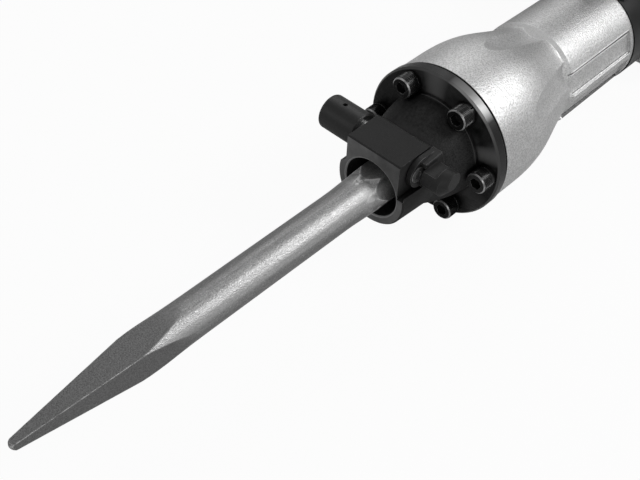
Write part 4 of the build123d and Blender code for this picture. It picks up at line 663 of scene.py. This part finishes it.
def close_tree(tree, geometry, material):
    """Ends a tree: real faces with their material on them."""
    real = add(tree, "GeometryNodeRealizeInstances", {"Geometry": geometry})
    done = add(tree, "GeometryNodeSetMaterial", {"Geometry": real.outputs[0], "Material": material})
    tree.links.new(done.outputs[0], tree.nodes.new("NodeGroupOutput").inputs[0])


def grow(name, tree, values, body):
    """Runs a tree with its values, keeps the result as a plain mesh and lets it ride on a body."""
    piece = bpy.data.objects.new(name, bpy.data.meshes.new(name + "_start"))
    scene.collection.objects.link(piece)
    modifier = piece.modifiers.new("grow", "NODES")
    modifier.node_group = tree
    for item in tree.interface.items_tree:
        if item.in_out == "INPUT":
            modifier[item.identifier] = values[item.name]
    depsgraph = bpy.context.evaluated_depsgraph_get()
    mesh = bpy.data.meshes.new_from_object(piece.evaluated_get(depsgraph))
    piece.modifiers.remove(modifier)
    piece.data = mesh
    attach(piece, body)


def circle_of(tree, count, radius):
    """A flat circle of points about Z."""
    return add(tree, "GeometryNodeMeshCircle", {"Vertices": count, "Radius": radius}).outputs[0]


def moved(tree, geometry, **move):
    """A geometry with a Rotation, a Translation or both."""
    return add(tree, "GeometryNodeTransform", {"Geometry": geometry, **move}).outputs[0]


def repeat_on(tree, points, shape, **more):
    """Puts a shape on every point of a geometry."""
    places = {"Points": points, "Instance": shape, **more}
    return add(tree, "GeometryNodeInstanceOnPoints", places).outputs[0]


def make_knurl_tree():
    """Ridges round the heads of a ring of cap screws that point along the barrel."""
    tree, given = geometry_tree(
        "knurl",
        [
            ("Screw Circle", "NodeSocketFloat"),
            ("Screws", "NodeSocketInt"),
            ("Start Angle", "NodeSocketFloat"),
            ("Head Radius", "NodeSocketFloat"),
            ("Ridge Length", "NodeSocketFloat"),
            ("Ridge Width", "NodeSocketFloat"),
            ("Ridges", "NodeSocketInt"),
            ("Place", "NodeSocketVector"),
            ("Material", "NodeSocketMaterial"),
        ],
    )
    ridge_sizes = {"Vertices": 3, "Radius": given["Ridge Width"], "Depth": given["Ridge Length"]}
    ridge = add(tree, "GeometryNodeMeshCylinder", ridge_sizes).outputs["Mesh"]
    spoke = {"Vector": add(tree, "GeometryNodeInputPosition").outputs[0]}
    outward = add(tree, "FunctionNodeAlignRotationToVector", spoke, axis="X", pivot_axis="Z").outputs[0]
    head = circle_of(tree, given["Ridges"], given["Head Radius"])
    crown = repeat_on(tree, head, ridge, Rotation=outward)
    start = add(tree, "ShaderNodeCombineXYZ", {"Z": given["Start Angle"]}).outputs[0]
    spots = moved(tree, circle_of(tree, given["Screws"], given["Screw Circle"]), Rotation=start)
    ring = repeat_on(tree, spots, crown)
    # Turns X to Y, Y to Z and Z to X, so that the screws point along the barrel
    upright = moved(tree, ring, Rotation=(pi / 2, 0.0, pi / 2), Translation=given["Place"])
    close_tree(tree, upright, given["Material"])
    return tree


def make_rib_tree():
    """Rounded ribs round a grip: rings along an axis, drawn in until they lie on the grip's surface."""
    tree, given = geometry_tree(
        "grip_ribs",
        [
            ("Grip", "NodeSocketObject"),
            ("Other Half", "NodeSocketObject"),
            ("Start", "NodeSocketVector"),
            ("End", "NodeSocketVector"),
            ("Turn", "NodeSocketVector"),
            ("Ribs", "NodeSocketInt"),
            ("Rib Radius", "NodeSocketFloat"),
            ("Reach", "NodeSocketFloat"),
            ("Material", "NodeSocketMaterial"),
        ],
    )
    corners_round_rib = 72
    corners_round_bead = 8
    ends = {"Count": given["Ribs"], "Start Location": given["Start"], "Offset": given["End"]}
    line = add(tree, "GeometryNodeMeshLine", ends, mode="END_POINTS").outputs[0]
    hoop = moved(tree, circle_of(tree, corners_round_rib, given["Reach"]), Rotation=given["Turn"])
    hoops = add(tree, "GeometryNodeRealizeInstances", {"Geometry": repeat_on(tree, line, hoop)}).outputs[0]
    halves = add(tree, "GeometryNodeJoinGeometry")
    for half in ("Other Half", "Grip"):
        info = add(tree, "GeometryNodeObjectInfo", {"Object": given[half]})
        tree.links.new(info.outputs["Geometry"], halves.inputs[0])
    place = add(tree, "GeometryNodeInputPosition").outputs[0]
    run = vector_maths(tree, "SUBTRACT", given["End"], given["Start"])["Vector"]
    offset = vector_maths(tree, "SUBTRACT", place, given["Start"])["Vector"]
    on_axis = vector_maths(tree, "PROJECT", offset, run)["Vector"]
    ray = {
        "Target Geometry": halves.outputs[0],
        "Source Position": place,
        "Ray Direction": vector_maths(tree, "SUBTRACT", on_axis, offset)["Vector"],
        "Ray Length": given["Reach"],
    }
    hit = add(tree, "GeometryNodeRaycast", ray).outputs
    landing = {"Geometry": hoops, "Position": hit["Hit Position"], "Selection": hit["Is Hit"]}
    drawn = add(tree, "GeometryNodeSetPosition", landing).outputs[0]
    loops = add(tree, "GeometryNodeMeshToCurve", {"Mesh": drawn}).outputs[0]
    bead_sizes = {"Resolution": corners_round_bead, "Radius": given["Rib Radius"]}
    bead = add(tree, "GeometryNodeCurvePrimitiveCircle", bead_sizes).outputs[0]
    ribs = add(tree, "GeometryNodeCurveToMesh", {"Curve": loops, "Profile Curve": bead}).outputs[0]
    smooth = add(tree, "GeometryNodeSetShadeSmooth", {"Geometry": ribs}).outputs[0]
    close_tree(tree, smooth, given["Material"])
    return tree


# Knurl on the heads of the cap screws, sunk a little into them
knurl_tree = make_knurl_tree()
knurl_sink = 0.0001
cover_head_radius = 0.008
cover_screw_circle = (cover_screws_high.y - cover_screws_low.y) / 2 - cover_head_radius
cover_knurl_x = cover_screws_low.x + 0.0054
case_head_radius = 0.0064
case_bolt_circle = sqrt(2) * ((case_bolts_high.y - case_bolts_low.y) / 2 - case_head_radius)
case_knurl_x = case_bolts_low.x + 0.0042
grow(
    "cover_screw_knurl",
    knurl_tree,
    {
        "Screw Circle": cover_screw_circle,
        "Screws": 6,
        "Start Angle": 0.0,
        "Head Radius": cover_head_radius - knurl_sink,
        "Ridge Length": 0.0076,
        "Ridge Width": 0.00042,
        "Ridges": 48,
        "Place": (cover_knurl_x, barrel.y, barrel.z),
        "Material": finishes["knurl_oxide"],
    },
    "hammer",
)
grow(
    "case_bolt_knurl",
    knurl_tree,
    {
        "Screw Circle": case_bolt_circle,
        "Screws": 4,
        "Start Angle": radians(45),
        "Head Radius": case_head_radius - knurl_sink,
        "Ridge Length": 0.0060,
        "Ridge Width": 0.00038,
        "Ridges": 40,
        "Place": (case_knurl_x, barrel.y, barrel.z),
        "Material": finishes["knurl_oxide"],
    },
    "hammer",
)

# Ribs on the side grip and on the bar of the main handle
rib_tree = make_rib_tree()
side_grip_x = (side_grip_low.x + side_grip_high.x) / 2
side_ribs_low = side_grip_low.z + 0.022
side_ribs_high = side_grip_high.z - 0.018
handle_bar_x = handle_high.x - 0.019
handle_ribs_start = trigger_high.y + 0.045
handle_ribs_end = handle_high.y - 0.042
grow(
    "side_grip_ribs",
    rib_tree,
    {
        "Grip": nodes["side_grip"],
        "Other Half": nodes["side_grip"],
        "Start": (side_grip_x, barrel.y, side_ribs_low),
        "End": (side_grip_x, barrel.y, side_ribs_high),
        "Turn": (0.0, 0.0, 0.0),
        "Ribs": 19,
        "Rib Radius": 0.0009,
        "Reach": 0.04,
        "Material": finishes["black_rubber"],
    },
    "side_grip",
)
grow(
    "handle_ribs",
    rib_tree,
    {
        "Grip": nodes["handle_upper_half"],
        "Other Half": nodes["handle_lower_half"],
        "Start": (handle_bar_x, handle_ribs_start, barrel.z),
        "End": (handle_bar_x, handle_ribs_end, barrel.z),
        "Turn": (pi / 2, 0.0, 0.0),
        "Ribs": 8,
        "Rib Radius": 0.0008,
        "Reach": 0.045,
        "Material": finishes["black_rubber"],
    },
    "hammer",
)

# Camera at the photograph's viewing angle
view_from = Vector((cover_high.x, barrel.y, barrel.z)) + Vector((-0.51086, -0.34085, 0.51503))
view_turn = Euler((radians(44.08), radians(-2.075), radians(-46.431)))
camera_data = bpy.data.cameras.new("camera")
camera_data.sensor_width = 36.0
camera_data.lens = 61.81
camera = bpy.data.objects.new("camera", camera_data)
scene.collection.objects.link(camera)
camera.matrix_world = Matrix.Translation(view_from) @ view_turn.to_matrix().to_4x4()
scene.camera = camera

# Soft studio light
light_target = Vector((cover_low.x, barrel.y, barrel.z))


def softbox(name, direction, distance, width, height, power):
    """A rectangle of even light that faces the tool's nose from one direction."""
    data = bpy.data.lights.new(name, "AREA")
    data.shape = "RECTANGLE"
    data.size = width
    data.size_y = height
    data.energy = power
    lamp = bpy.data.objects.new(name, data)
    scene.collection.objects.link(lamp)
    outward = Vector(direction).normalized()
    lamp.location = light_target + distance * outward
    lamp.rotation_euler = outward.to_track_quat("Z", "Y").to_euler()


softbox("key", (0.52, -0.52, 0.67), distance=1.5, width=0.65, height=0.5, power=11.0)
softbox("front", (-0.82, -0.50, 0.24), distance=1.8, width=0.9, height=0.7, power=5.0)
softbox("fill", (-0.75, 0.45, 0.45), distance=1.8, width=1.0, height=0.8, power=2.5)
softbox("side", (0.51, 0.55, 0.66), distance=1.6, width=1.1, height=0.7, power=4.2)

# White sky: full to the eye, and a weaker light on the tool
sky_shown = 1.0
sky_light = 0.35
world = bpy.data.worlds.new("studio")
scene.world = world
world.use_nodes = True
sky_tree = world.node_tree
sky = sky_tree.nodes["Background"]
sky.inputs["Color"].default_value = grey(1.0)
sky_seen = add(sky_tree, "ShaderNodeLightPath").outputs["Is Camera Ray"]
sky_tree.links.new(spread(sky_tree, sky_seen, 0.0, 1.0, sky_light, sky_shown), sky.inputs["Strength"])

# Pale floor: white to the eye, and it keeps a trace of the tool's shadow
floor_size = 12
floor_drop = 0.0005
white_share = 0.95
floor_material = bpy.data.materials.new("floor_white")
floor_material.use_nodes = True
floor_tree = floor_material.node_tree
floor_tree.nodes.remove(floor_tree.nodes["Principled BSDF"])
floor_seen = add(floor_tree, "ShaderNodeLightPath").outputs["Is Camera Ray"]
white_seen = product(floor_tree, floor_seen, white_share)
lit = add(floor_tree, "ShaderNodeBsdfDiffuse", {"Color": grey(0.62)}).outputs[0]
white = add(floor_tree, "ShaderNodeEmission", {"Color": grey(1.0), "Strength": 1.0}).outputs[0]
shown = add(floor_tree, "ShaderNodeMixShader", {0: white_seen, 1: lit, 2: white}).outputs[0]
floor_tree.links.new(shown, floor_tree.nodes["Material Output"].inputs["Surface"])
bpy.ops.mesh.primitive_plane_add(size=floor_size, location=(0, 0, -floor_drop))
floor = bpy.context.object
floor.name = "floor"
floor.data.materials.append(floor_material)
